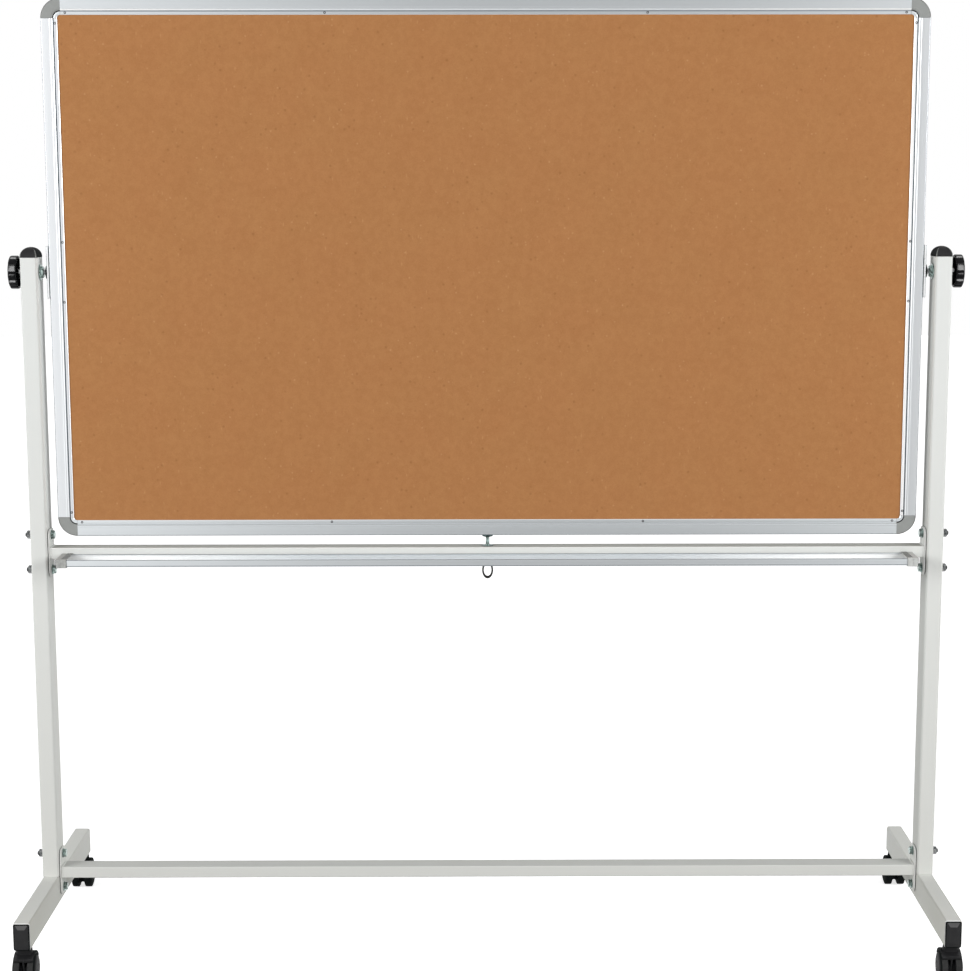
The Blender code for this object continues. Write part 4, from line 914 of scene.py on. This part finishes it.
screw_model = lip_screw("screw_model")
LIP_FROM_EDGE, SCREW_FROM_CORNER = 0.0242, 0.0415
screw_x = HALF_WIDTH - SCREW_FROM_CORNER
screw_z = HALF_HEIGHT - SCREW_FROM_CORNER
screw_spots = [(x, z) for x in (-screw_x, -0.272, 0.272, screw_x)
               for z in (-HALF_HEIGHT + LIP_FROM_EDGE, HALF_HEIGHT - LIP_FROM_EDGE)]
screw_spots += [(x, z) for x in (-HALF_WIDTH + LIP_FROM_EDGE, HALF_WIDTH - LIP_FROM_EDGE)
                for z in (-screw_z, -0.051, 0.051, screw_z)]
for number, (x, z) in enumerate(screw_spots, 1):
    screw = copied(screw_model, f"lip_screw_{number:02d}")
    place(screw, (x, STAND_Y - (RAIL_HALF - 0.0013), PIVOT_Z + z))
    fitted(screw, ring_wire, "board")
bpy.data.objects.remove(screw_model)
print(len(screw_spots), "lip screws")

# %% [markdown]
# ## Posts and feet
# These are oblong steel tubes with rounded corners. Starting from a plane with a vertex
# bevel keeps the corner radius the same all the way along.

# %% Posts and feet
def middle(node, axis):
    """The middle of a model piece's box along one axis."""
    low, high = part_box(node)
    return (getattr(low, axis) + getattr(high, axis)) / 2


POST_X, TUBE_ROUND = middle("post_right", "x"), 0.004
for side, sign in SIDES.items():
    low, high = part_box("post_" + side)
    size = high - low
    post = oblong("post_" + side + "_tube", TUBE_ROUND,
                  [(low.z, size.x, size.y), (high.z, size.x, size.y)])
    place(post, (sign * POST_X, STAND_Y, 0))
    fitted(post, stand_paint, "stand", "post_" + side)
    # The right post's inner side takes a darker copy of the paint, painted shade, and each post's
    # inner rear edge is painted darker, painted shade.
    if side == "right":
        second_look(post, paint_flank_shade, lambda face: face.normal.x < -0.9)
    inner_rear = (sign * (POST_X - size.x / 2), STAND_Y + size.y / 2)
    second_look(post, paint_shade, lambda face: math.hypot(
        face.center.x - inner_rear[0], face.center.y - inner_rear[1]) < 0.0030)
    low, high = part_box("foot_" + side)
    size = high - low
    foot = oblong("foot_" + side + "_tube", TUBE_ROUND,
                  [(-size.y / 2, size.x, size.z), (size.y / 2, size.x, size.z)])
    place(foot, (sign * POST_X, STAND_Y, middle("foot_" + side, "z")), (1, 0, 0), (0, 0, 1))
    fitted(foot, foot_paint_shaded, "stand", "foot_" + side)
    # The foot's top takes a lighter copy, painted light; its lower edge is painted darker, painted
    # shade; and the tube's end rim is painted white, a painted highlight.
    second_look(foot, foot_top_lit, lambda face: face.normal.z > 0.9)
    second_look(foot, paint_shade, lambda face: face.center.z < low.z + 0.0036
                and -0.95 < face.normal.z < -0.05)
    second_look(foot, edge_highlight, lambda face: abs(face.normal.y) > 0.9)
print("posts and feet at x", round(POST_X, 4))

# %% [markdown]
# The post caps are domes with four curved faces that meet in hips. Each ring of the dome
# shrinks by the cosine and rises by the sine of the same angle.

# %% Post caps
def dome_stations(width, depth, height, brim, steps):
    """Stations of a four-sided dome on a short upright brim."""
    stations = [(0, width, depth), (brim, width, depth)]
    for step in range(1, steps + 1):
        angle = math.radians(90) * step / (steps + 0.35)
        share = math.cos(angle)
        stations.append((brim + (height - brim) * math.sin(angle), width * share, depth * share))
    return stations


cap_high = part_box("post_cap_left")[1]
post_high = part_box("post_left")[1].z
for side, sign in SIDES.items():
    cap = oblong("post_cap_" + side + "_dome", 0.0016,
                 dome_stations(0.0288, 0.0498, cap_high.z - post_high - 0.0003, 0.0012, 14), 4)
    place(cap, (sign * POST_X, STAND_Y, post_high + 0.0003))
    fitted(cap, cap_moulding, "stand", "post_cap_" + side, angle=50)
    # The cap's sides are painted near black, painted shade, and its hips lighter, a painted
    # highlight.
    second_look(cap, matt_black_and_shade, lambda face: abs(face.normal.x) > abs(face.normal.y))
    second_look(cap, mouth_shade_hip_highlight, lambda face: min(abs(face.normal.x), abs(face.normal.y)) > 0.12
                and face.normal.z < 0.90)

# %% [markdown]
# The foot caps are plugs with a bevelled face. The bevel is what catches the light along
# the top edge, so its edges are softened and kept crisp.

# %% Foot caps
foot_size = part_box("foot_left")[1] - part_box("foot_left")[0]
for end, way in (("front", -1), ("rear", 1)):
    for side, sign in SIDES.items():
        width, tall = foot_size.x - 0.0018, foot_size.z - 0.0020
        cap = oblong("foot_cap_" + end + "_" + side + "_plug", 0.0026, [
            (0, width, tall), (0.0010, width, tall), (0.0012, width - 0.0036, tall - 0.0036),
            (0.0028, width - 0.0124, tall - 0.0160),
            (0.0030, width - 0.0150, tall - 0.0186)], 4)
        softened(cap, 0.0003)
        face = (sign * POST_X, STAND_Y + way * (foot_size.y / 2 + 0.0003),
                middle("foot_left", "z") - 0.0008)
        place(cap, face, (-way, 0, 0), (0, 0, 1))
        fitted(cap, cap_moulding, "stand", "foot_cap_" + end + "_" + side)
        # The rim by the tube is painted near black, painted shade, and the top bevel lighter, a
        # painted highlight.
        second_look(cap, matt_black_and_shade, lambda part: abs(part.center.y - face[1]) < 0.0012)
        second_look(cap, black_top_highlight, lambda part: part.normal.z > 0.12
                    and abs(part.normal.x) < 0.06 and abs(part.center.y - face[1]) > 0.0012)
print("caps on posts and feet")

# %% [markdown]
# ## Crossbars
# Each crossbar is an oblong tube with a rounded plate welded to each end. The weld shows
# as a small uneven bead round the tube, so a thin collar is roughened with a displacement.

# %% Crossbars
def weld_bead(name, height, depth, place_x, sign):
    """A collar round the tube's end with an uneven skin."""
    bead = oblong(name, 0.003, [
        (0, height, depth), (0.0008, height + 0.0020, depth + 0.0020),
        (0.0024, height + 0.0016, depth + 0.0016), (0.0034, height, depth)], 4)
    only(bead)
    bpy.ops.object.mode_set(mode="EDIT")
    bpy.ops.mesh.select_all(action="SELECT")
    bpy.ops.mesh.subdivide(number_cuts=2)
    bpy.ops.object.mode_set(mode="OBJECT")
    uneven = bpy.data.textures.new(name, "CLOUDS")
    uneven.noise_scale = 0.004
    rough = bead.modifiers.new("uneven", "DISPLACE")
    rough.texture, rough.strength = uneven, 0.0009
    rough.texture_coords = "LOCAL"
    bpy.ops.object.modifier_apply(modifier=rough.name)
    return place(bead, (place_x, 0, 0), (0, 0, sign), (0, 1, 0))


for bar in ("upper", "lower"):
    low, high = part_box("crossbar_" + bar)
    middle_z = middle("crossbar_" + bar, "z")
    bar_tall, bar_deep, plate_thick = 0.020, 0.037, 0.003
    reach = high.x - plate_thick
    tube = oblong("tube", 0.0016, [(-reach, bar_tall, bar_deep), (reach, bar_tall, bar_deep)], 4)
    parts = [place(tube, (0, 0, 0), (0, 0, -1), (0, 1, 0))]
    for sign in (-1, 1):
        tall, deep = high.z - low.z, high.y - low.y
        plate = oblong("plate", 0.012, [
            (0, tall - 0.0006, deep - 0.0006), (0.0003, tall, deep),
            (plate_thick - 0.0011, tall, deep), (plate_thick, tall - 0.0022, deep - 0.0022)], 8)
        parts.append(place(plate, (sign * reach, 0, 0), (0, 0, -sign), (0, 1, 0)))
        parts.append(weld_bead("bead", bar_tall, bar_deep, sign * reach, sign))
    crossbar = joined("crossbar_" + bar + "_welded", *parts)
    place(crossbar, (0, STAND_Y, middle_z))
    fitted(crossbar, stand_paint, "stand", "crossbar_" + bar)
    base = middle_z - bar_tall / 2
    # The tops are painted darker, painted shade, the upper one as the board's painted shadow; the
    # upper bar's top front edge and the plates' front edges are painted white, painted highlights;
    # the plates' outer bevel and the front lower edge are painted darker, painted shade.
    second_look(crossbar, paint_board_shadow if bar == "upper" else paint_top_shade,
                lambda face: face.normal.z > 0.9 and abs(face.center.x) < reach - 0.01)
    if bar == "upper":
        second_look(crossbar, edge_highlight, lambda face: face.normal.z > 0.2 and face.normal.y < -0.2
                    and abs(face.center.x) < reach - 0.01)
    second_look(crossbar, matt_black_and_shade, lambda face: abs(face.center.x) > high.x - 0.0011
                and 0.2 < abs(face.normal.x) < 0.97)
    second_look(crossbar, paint_shade, lambda face: abs(face.center.x) < reach - 0.01
                and base - 0.0001 < face.center.z < base + 0.0011 and face.center.y < STAND_Y)
    second_look(crossbar, edge_highlight, lambda face: face.normal.y < -0.2 and abs(face.normal.x) < 0.2
                and abs(face.center.x) > reach and face.center.y < low.y + 0.010)
print("crossbars")

# %% [markdown]
# ## Bolts
# The bolt heads are hexagons whose corners are turned off at the top. That shape is where
# a hexagonal prism and a turned cone overlap, so a Boolean keeps just the overlap.

# %% One chamfered hexagon
def hexagon(name, flats, start, end, chamfer, ends="both"):
    """A hexagon along Z between two heights, with its corners turned off."""
    tip = flats / 2 / math.cos(math.radians(30))
    body = turned(name, [(start, tip), (end, tip)], sides=6)
    low = flats / 2 * 0.97 if ends in ("both", "start") else tip * 1.02
    high = flats / 2 * 0.97 if ends in ("both", "end") else tip * 1.02
    cone = turned("cone", [(start - 0.0001, low), (start + chamfer, tip * 1.02),
                           (end - chamfer, tip * 1.02), (end + 0.0001, high)], sides=48)
    return combined(body, cone, "INTERSECT")


# %% One bolt, copied eight times
plate_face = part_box("crossbar_upper")[1].x - 0.003
post_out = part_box("post_right")[1].x
BOLT_FLATS, HEAD_DEPTH, NUT_DEPTH, TURNED_OFF = 0.013, 0.0050, 0.0080, 0.0012
WASHER_BORE, WASHER_RADIUS, WASHER_DEPTH = 0.0042, 0.0085, 0.0016
THREAD_PITCH, THREAD_CREST, THREAD_ROOT = 0.0010, 0.0039, 0.0034


def bolt_washer(start, end):
    """A flat washer with softened edges, between two heights."""
    return softened(turned("washer", [(start, WASHER_BORE), (start, WASHER_RADIUS),
                                      (end, WASHER_RADIUS), (end, WASHER_BORE)], ring=True), 0.0003)


head = hexagon("head", BOLT_FLATS, -WASHER_DEPTH - HEAD_DEPTH, -WASHER_DEPTH, TURNED_OFF, "start")
washer = bolt_washer(-WASHER_DEPTH, -0.0001)
nut_start = post_out - plate_face + 0.0003
outer = bolt_washer(nut_start, nut_start + WASHER_DEPTH)
nut_start += WASHER_DEPTH
nut_end = nut_start + NUT_DEPTH
nut = hexagon("nut", BOLT_FLATS, nut_start, nut_end, TURNED_OFF, "end")
turns = [(nut_end + THREAD_PITCH * (i / 2 - 0.5), THREAD_CREST if i % 2 else THREAD_ROOT)
         for i in range(7)]
tip = turned("tip", turns + [(turns[-1][0] + 0.0004, 0.0026)], sides=32)
shank = turned("shank", [(-WASHER_DEPTH, THREAD_CREST), (nut_start, THREAD_CREST)], sides=24)
bolt_model = joined("bolt_model", head, washer, outer, nut, tip, shank)
for bar in ("upper", "lower"):
    for side, sign in SIDES.items():
        for level_name in ("bottom", "top"):
            node_name = "bolt_" + bar + "_" + side + "_" + level_name
            bolt = copied(bolt_model, node_name + "_fixing")
            place(bolt, (sign * plate_face, STAND_Y, middle(node_name, "z")), (0, 1, 0),
                  (0, 0, sign))
            fitted(bolt, zinc_plate_and_glint, "stand", node_name)
            # The chamfers are painted darker, painted shade.
            second_look(bolt, zinc_in_shade, lambda face: 0.2 < abs(face.normal.x) < 0.97)
            second_look(bolt, nut_steel, lambda face: abs(face.center.x) > post_out)
bpy.data.objects.remove(bolt_model)
print("eight bolts")

# %% [markdown]
# ## Pivots
# A satin steel plate sits on the frame's edge with a stud that passes through the post.
# A dark washer, a zinc nut and a wide zinc washer fill the gap between plate and post.

# %% Pivot plates with their studs
plate_low, plate_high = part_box("pivot_plate_right")
nut_low, nut_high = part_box("pivot_nut_right")
ring_low, ring_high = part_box("friction_washer_right")
plate_out, PLATE_WIDE, PLATE_TALL, STUD_PITCH = 0.7547, 0.018, 0.0906, 0.00125
for side, sign in SIDES.items():
    plate = oblong("plate", 0.004, [(plate_low.x, PLATE_WIDE, PLATE_TALL),
                                    (plate_out, PLATE_WIDE, PLATE_TALL)], 6)
    outwards(softened(plate, 0.0007), sign)
    crests = [(plate_out + STUD_PITCH * i / 2, 0.0049 if i % 2 else 0.0044)
              for i in range(int((plate_high.x - plate_out) / STUD_PITCH * 2))]
    stud = turned("stud", [(plate_low.x + 0.001, 0.0046)] + crests, sides=28)
    outwards(stud, sign)
    heads = []
    for rise in (-0.036, 0.036):
        rivet = turned("rivet", [
            (plate_out - 0.0006, 0.0030), (plate_out + 0.0001, 0.0030),
            (plate_out + 0.0005, 0.0024), (plate_out + 0.0006, 0.0012)], sides=24)
        heads.append(outwards(rivet, sign, (0, 0, rise)))
    pivot = joined("pivot_plate_" + side + "_stud", plate, stud, *heads)
    place(pivot, (0, STAND_Y, PIVOT_Z))
    fitted(pivot, satin_steel, "board", "pivot_plate_" + side)
    # The plate's and rivets' bevelled edges are painted darker, painted shade.
    second_look(pivot, zinc_in_shade, lambda face: abs(face.center.x) < plate_out + 0.0001
                and 0.2 < abs(face.normal.x) < 0.97)

# %% Washers and nuts on the studs
for side, sign in SIDES.items():
    friction = turned("friction_washer_" + side + "_disc", [
        (ring_low.x, 0.0052), (ring_low.x, 0.0112), (ring_low.x + 0.0003, 0.0115),
        (ring_high.x - 0.0003, 0.0115), (ring_high.x, 0.0112), (ring_high.x, 0.0052)], ring=True)
    outwards(friction, sign, (0, STAND_Y, PIVOT_Z))
    fitted(friction, matt_black_and_shade, "board", "friction_washer_" + side)
    washer_in = nut_high.x - 0.0016
    hexagon_part = hexagon("hexagon", 0.017, nut_low.x, washer_in, 0.0014, "start")
    disc = turned("disc", [
        (washer_in, 0.0052), (washer_in, 0.0132), (washer_in + 0.0003, 0.0135),
        (nut_high.x - 0.0002, 0.0135), (nut_high.x, 0.0132), (nut_high.x, 0.0052)], ring=True)
    nut = joined("pivot_nut_" + side + "_zinc", hexagon_part, disc)
    outwards(nut, sign, (0, STAND_Y, PIVOT_Z))
    fitted(nut, zinc_plate_and_glint, "board", "pivot_nut_" + side)
print("pivots")

# %% [markdown]
# ## Clamp knobs
# A black hand wheel with twelve broad lobes and narrow grooves. It starts as a turned
# disc of 144 sides, and three columns of points at each groove are pushed inwards. The end
# faces are matt: as mirrors they would show the tall strips whole when seen from behind.

# %% Knob body
KNOB_RADIUS, GROOVE_FLOOR, KNOB_LOBES, LOBE_STEPS = 0.0285, 0.0258, 12, 12
knob_low, knob_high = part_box("knob_right")
hub = knob_high.x - 0.0143 - knob_low.x


def knob_model():
    """The knob along Z from its back: hub, hollow back, rim and dished face."""
    thick = knob_high.x - knob_low.x
    return turned("knob_model", [
        (0.0000, 0.0115), (0.0006, 0.0126), (hub + 0.0070, 0.0130), (hub + 0.0078, 0.0138),
        (hub + 0.0080, 0.0205), (hub + 0.0074, 0.0226), (hub + 0.0060, 0.0232),
        (hub + 0.0006, 0.0240), (hub, 0.0248), (hub + 0.0001, 0.0264), (hub + 0.0006, 0.0275),
        (hub + 0.0013, 0.0281), (hub + 0.0024, KNOB_RADIUS), (thick - 0.0024, KNOB_RADIUS),
        (thick - 0.0012, 0.0281), (thick - 0.0004, 0.0268), (thick, 0.0246),
        (thick - 0.0004, 0.0232), (thick - 0.0014, 0.0215), (thick - 0.0016, 0.0120),
        (thick - 0.0012, 0.0090), (thick - 0.0012, 0.0020)], sides=KNOB_LOBES * LOBE_STEPS)


def press_grooves(piece):
    """Pushes the rim's points inwards at each groove, most in the middle column."""
    shares = {0: 0.915, 1: 0.955, LOBE_STEPS - 1: 0.955}
    for column, share in shares.items():
        scaled_points(piece, lambda point: math.hypot(point.x, point.y) > GROOVE_FLOOR and round(
            math.atan2(point.y, point.x) / math.tau * KNOB_LOBES * LOBE_STEPS
        ) % LOBE_STEPS == column, (share, share, 1))
    only(piece)
    return piece


# %% Both knobs
knob_shape = press_grooves(knob_model())
for side, sign in SIDES.items():
    knob = copied(knob_shape, "knob_" + side + "_wheel")
    outwards(knob, sign, (sign * knob_low.x, STAND_Y, PIVOT_Z))
    fitted(knob, knob_moulding, "knob_" + side, "knob_" + side, angle=30)
    second_look(knob, matt_black_and_shade, lambda face: sign * face.normal.x > 0.8
                and abs(face.center.x) > (knob_low.x + knob_high.x) / 2)
bpy.data.objects.remove(knob_shape)
print("knobs")

# %% [markdown]
# ## Pen tray
# The tray is a thin aluminium channel whose two edges are rolled into beads. Its moulded
# ends are grey, open towards the tray, with a softened outer edge.

# %% Tray
tray_low, tray_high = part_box("pen_tray")
TRAY_DEEP, TRAY_TALL, TRAY_WALL, BEAD = 0.060, 0.012, 0.0014, 0.0015
back_edge = ([(0, 0.0008), (0, 0.0020), (0, TRAY_TALL - BEAD)]
             + arc_points(BEAD, TRAY_TALL - BEAD, BEAD, 180, -60, 10)
             + [(TRAY_WALL, TRAY_TALL - 2 * BEAD - 0.0002), (TRAY_WALL, TRAY_WALL + 0.0006),
                (TRAY_WALL + 0.0006, TRAY_WALL)])
tray_outline = [(0.0008, 0)] + back_edge + [(TRAY_DEEP - f, u) for f, u in reversed(back_edge)]
tray_outline += [(TRAY_DEEP - 0.0008, 0)]
tray = pulled(drawn("pen_tray_channel", tray_outline), tray_low.x, tray_high.x)
place(tray, (0, tray_high.y, tray_low.z), (0, -1, 0), (0, 0, 1))
fitted(tray, level_aluminium, "stand", "pen_tray")
front_y = tray_high.y - TRAY_DEEP
# The back wall's inner face is painted whiter, a painted reflection; the beads' tops and the
# front's lower edge are painted darker, painted shade.
second_look(tray, level_highlight, lambda face: face.normal.y < -0.5
            and face.center.y > tray_high.y - 0.004)
second_look(tray, level_shade, lambda face: (
    face.center.y > tray_high.y - 0.0032 and face.normal.z > 0.2)
    or (face.center.y < front_y + 0.0032 and face.normal.z > 0.5)
    or (face.center.y < front_y + 0.001 and face.center.z < tray_low.z + 0.0021))

# %% Tray ends
def tray_end(name, inner, mouth, outer):
    """A moulded end: a solid end wall, and a hood round the tray's edges."""
    deep, low, high = 0.0619, -0.0019, 0.0139
    solid = [(0, low)] + [(0, high)] + arc_points(deep - 0.003, high - 0.003, 0.003, 90, 0, 5)
    solid += arc_points(deep - 0.001, low + 0.001, 0.001, 0, -90, 3)
    end = pulled(drawn(name, solid), mouth, outer)
    hood = solid[1:] + [(0, low), (0, -0.0003), (0.0603, -0.0003), (0.0603, 0.0123), (0, 0.0123)]
    sleeve = pulled(drawn("sleeve", hood), inner, mouth)
    softened(end, 0.0010, 3)
    softened(sleeve, 0.0003)
    return joined(name, end, sleeve)


end_low, end_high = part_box("tray_cap_right")
tray_ends = tray_end("tray_end_model", end_low.x, end_low.x + 0.010, end_high.x)
for side, sign in SIDES.items():
    tray_cap = copied(tray_ends, "tray_cap_" + side + "_moulding")
    only(tray_cap)
    if sign > 0:
        bpy.ops.object.mode_set(mode="EDIT")
        bpy.ops.mesh.select_all(action="SELECT")
        bpy.ops.transform.mirror(constraint_axis=(False, False, True), center_override=(0, 0, 0))
        bpy.ops.mesh.normals_make_consistent(inside=False)
    place(tray_cap, (0, tray_high.y, tray_low.z), (0, -1, 0), (0, 0, 1))
    # The right end takes a lighter copy, painted light; the mouth under the hood and the outer
    # edges are painted dark, painted shade.
    fitted(tray_cap, tray_moulding if sign < 0 else pale_moulding_lit, "stand", "tray_cap_" + side)
    second_look(tray_cap, mouth_shade_hip_highlight, lambda face: abs(face.center.x) < end_low.x + 0.0095
                and face.center.z > tray_low.z + 0.009 and face.center.y > tray_low.y + 0.010)
    second_look(tray_cap, matt_black_and_shade, lambda face: max(abs(part) for part in face.normal) < 0.97
                and face.center.y < tray_low.y + 0.004
                and not end_low.x + 0.002 < abs(face.center.x) < end_high.x - 0.002)
bpy.data.objects.remove(tray_ends)
print("tray and its ends")

# %% [markdown]
# ## Lock pin
# A sprung pin slides in the upper crossbar and enters a flanged bush in the frame's edge.
# The flange just under the board and the ring below are what shows.

# %% Bushes in the frame and the crossbar
for edge, rise in (("top", 1), ("bottom", -1)):
    low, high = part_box("catch_bush_" + edge)
    face = high.z if rise > 0 else low.z
    bush = turned("catch_bush_" + edge + "_turned",
                  [(0, 0.0038), (0, 0.0078), (0.0003, 0.0086), (0.0015, 0.0098), (0.0020, 0.0100),
                   (0.0030, 0.0100), (0.0032, 0.0098), (0.0032, 0.0060), (0.0112, 0.0060),
                   (0.0112, 0.0038)], ring=True)
    place(bush, (0, STAND_Y, face), (1, 0, 0), (0, -rise, 0))
    # The bush takes the dark copy of the zinc, painted shade.
    fitted(bush, zinc_in_shade, "board", "catch_bush_" + edge)
low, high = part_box("lock_guide_bush")
guide = turned("lock_guide_turned", [(low.z, 0.00355), (low.z, 0.0050), (high.z - 0.0010, 0.0050),
                                     (high.z - 0.0010, 0.0098), (high.z - 0.0007, 0.0100),
                                     (high.z - 0.0002, 0.0100), (high.z, 0.0097),
                                     (high.z, 0.00355)], ring=True)
place(guide, (0, STAND_Y, 0))
# The guide bush takes the dark copy of the zinc, painted shade.
fitted(guide, zinc_in_shade, "stand", "lock_guide_bush")

# %% Pin with its flattened eye
low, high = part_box("lock_pin")
eye_z, collar_z, PIN_RADIUS = 0.6785, 0.6966, 0.00325
pin = turned("pin", [
    (eye_z + 0.0030, 0.0014), (eye_z + 0.0042, PIN_RADIUS), (collar_z, PIN_RADIUS),
    (collar_z, 0.0062), (collar_z + 0.0014, 0.0062), (collar_z + 0.0014, PIN_RADIUS),
    (high.z - 0.0010, PIN_RADIUS), (high.z - 0.0003, 0.0028), (high.z, 0.0020)], sides=32)
eye = turned("eye", [(-0.00125, 0.0016), (-0.00125, 0.0034), (-0.0009, 0.0037), (0.0009, 0.0037),
                     (0.00125, 0.0034), (0.00125, 0.0016)], sides=32, ring=True)
place(eye, (0, 0, eye_z), (0, 1, 0), (0, 0, 1))
pin = joined("lock_pin_turned", pin, eye)
place(pin, (0, STAND_Y, 0))
# The pin takes the dark copy of the zinc, painted shade, and its front faces take the brighter
# zinc, a painted highlight.
fitted(pin, zinc_in_shade, "lock", "lock_pin")
second_look(pin, zinc_plate_and_glint, lambda face: face.normal.y < -0.60)

# %% Pull ring
low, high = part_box("pull_ring")
half_wide, half_tall = (high.x - low.x) / 2 - 0.0014, (high.z - low.z) / 2 - 0.0014
only(None)
bpy.ops.mesh.primitive_torus_add(major_segments=64, minor_segments=12, major_radius=half_wide,
                                 minor_radius=0.0016)
ring = begin("pull_ring_wire")
scaled_points(ring, lambda point: abs(point.y) > 0.00001, (1, half_tall / half_wide, 1))
close_up(ring)
place(ring, (0, STAND_Y, middle("pull_ring", "z")), (1, 0, 0), (0, 0, 1))
fitted(ring, ring_wire, "ring", "pull_ring", angle=60)
print("lock pin and ring")

# %% [markdown]
# ## Casters
# Twin-wheel furniture casters. A curved hood covers the tops of both wheels, a web
# between them carries the axle, and a neck and stem go up into the foot.

# %% Caster body
AXLE_Z, TRAIL, WHEEL_INNER = 0.025, 0.009, 0.006
HOOD_IN, HOOD_OUT, HOOD_WIDE = 0.0263, 0.0286, 0.034


def caster_body():
    """Hood, web, neck and stem, with the swivel axis on Z."""
    skin = (arc_points(TRAIL, AXLE_Z + 0.0020, HOOD_OUT, 31, 139, 28)
            + arc_points(TRAIL, AXLE_Z, HOOD_IN, 139, 31, 28))
    hood = softened(pulled(drawn("hood", skin), -HOOD_WIDE / 2, HOOD_WIDE / 2), 0.0009, 3)
    place(hood, (0, 0, 0), (0, 1, 0), (0, 0, 1))
    plate = (arc_points(TRAIL, AXLE_Z, HOOD_IN + 0.001, 31, 139, 28)
             + arc_points(TRAIL, AXLE_Z, 0.016, 180, 350, 18))
    web = softened(pulled(drawn("web", plate), -0.0016, 0.0016), 0.0005)
    place(web, (0, 0, 0), (0, 1, 0), (0, 0, 1))
    core = turned("core", [(-0.0055, 0.0100), (-0.0055, 0.0150), (0.0055, 0.0150),
                           (0.0055, 0.0100)], ring=True)
    place(core, (0, TRAIL, AXLE_Z), (0, 1, 0), (0, 0, 1))
    cowl = oblong("cowl", 0.0050, [(0.0500, 0.0268, 0.0130), (0.0560, 0.0268, 0.0130),
                                   (0.0600, 0.0262, 0.0128), (0.0634, 0.0256, 0.0126),
                                   (0.0640, 0.0246, 0.0120)], 8)
    place(cowl, (0, 0.0035, 0))
    stem = turned("stem", [(0.0638, 0.0066), (0.0645, 0.0062), (0.0645, 0.0039), (0.0840, 0.0039),
                           (0.0848, 0.0032)])
    return joined("caster_model", hood, web, core, cowl, stem)


# %% Wheel
def wheel_model():
    """One wheel from its inner face outwards: tread, shoulder groove, domed cover and cap."""
    return turned("wheel_model", [
        (0.0000, 0.0158), (-0.0036, 0.0160), (-0.0038, 0.0166), (-0.0030, 0.0171), (0.0000, 0.0175),
        (0.0000, 0.0236), (0.0003, 0.0245), (0.0012, 0.0250), (0.0104, 0.0250),
        (0.0112, 0.0248), (0.0117, 0.0242), (0.0118, 0.0234), (0.0114, 0.0229), (0.0116, 0.0225),
        (0.0123, 0.0219), (0.0132, 0.0200), (0.0138, 0.0176), (0.0142, 0.0145), (0.0144, 0.0110),
        (0.0144, 0.0082), (0.0139, 0.0080), (0.0139, 0.0074), (0.0144, 0.0071),
        (0.0145, 0.0050), (0.0145, 0.0010)], sides=96)


# %% Four casters with two wheels each
caster_shape, wheel_shape = caster_body(), wheel_model()
for end in ("front", "rear"):
    for side, sign in SIDES.items():
        name = end + "_" + side
        axle_y = middle("wheel_" + name + "_outer", "y")
        body = copied(caster_shape, "caster_" + name + "_hood")
        place(body, (sign * POST_X, axle_y - TRAIL, 0))
        # The rear casters are painted near black, painted shade, and so are the hood's flanks.
        fitted(body, black_moulding if end == "front" else matt_black_and_shade,
               "caster_" + name, "caster_" + name, angle=40)
        second_look(body, matt_black_and_shade, lambda face: abs(face.normal.x) > 0.3
                    and abs(abs(face.center.x) - POST_X) > 0.015)
        for flank, out_way in (("inner", -sign), ("outer", sign)):
            wheel = copied(wheel_shape, "wheel_" + name + "_" + flank + "_tread")
            outwards(wheel, out_way, (sign * POST_X + out_way * WHEEL_INNER, axle_y, AXLE_Z))
            # The rear wheels are painted near black, painted shade.
            fitted(wheel, wheel_moulding if end == "front" else matt_black_and_shade,
                   "wheel_" + name + "_" + flank, "wheel_" + name + "_" + flank)
            if end == "front":
                # The front treads take a lighter copy, painted light, and the shoulder groove is
                # painted near black, painted shade.
                second_look(wheel, tread_lit_black, lambda face: abs(face.normal.x) < 0.3
                            and math.hypot(face.center.y - axle_y, face.center.z - AXLE_Z) > 0.0243)
                second_look(wheel, matt_black_and_shade, lambda face: 0.0168 < abs(
                    abs(face.center.x) - POST_X) < 0.0182)
for model in (caster_shape, wheel_shape):
    bpy.data.objects.remove(model)
print("casters")
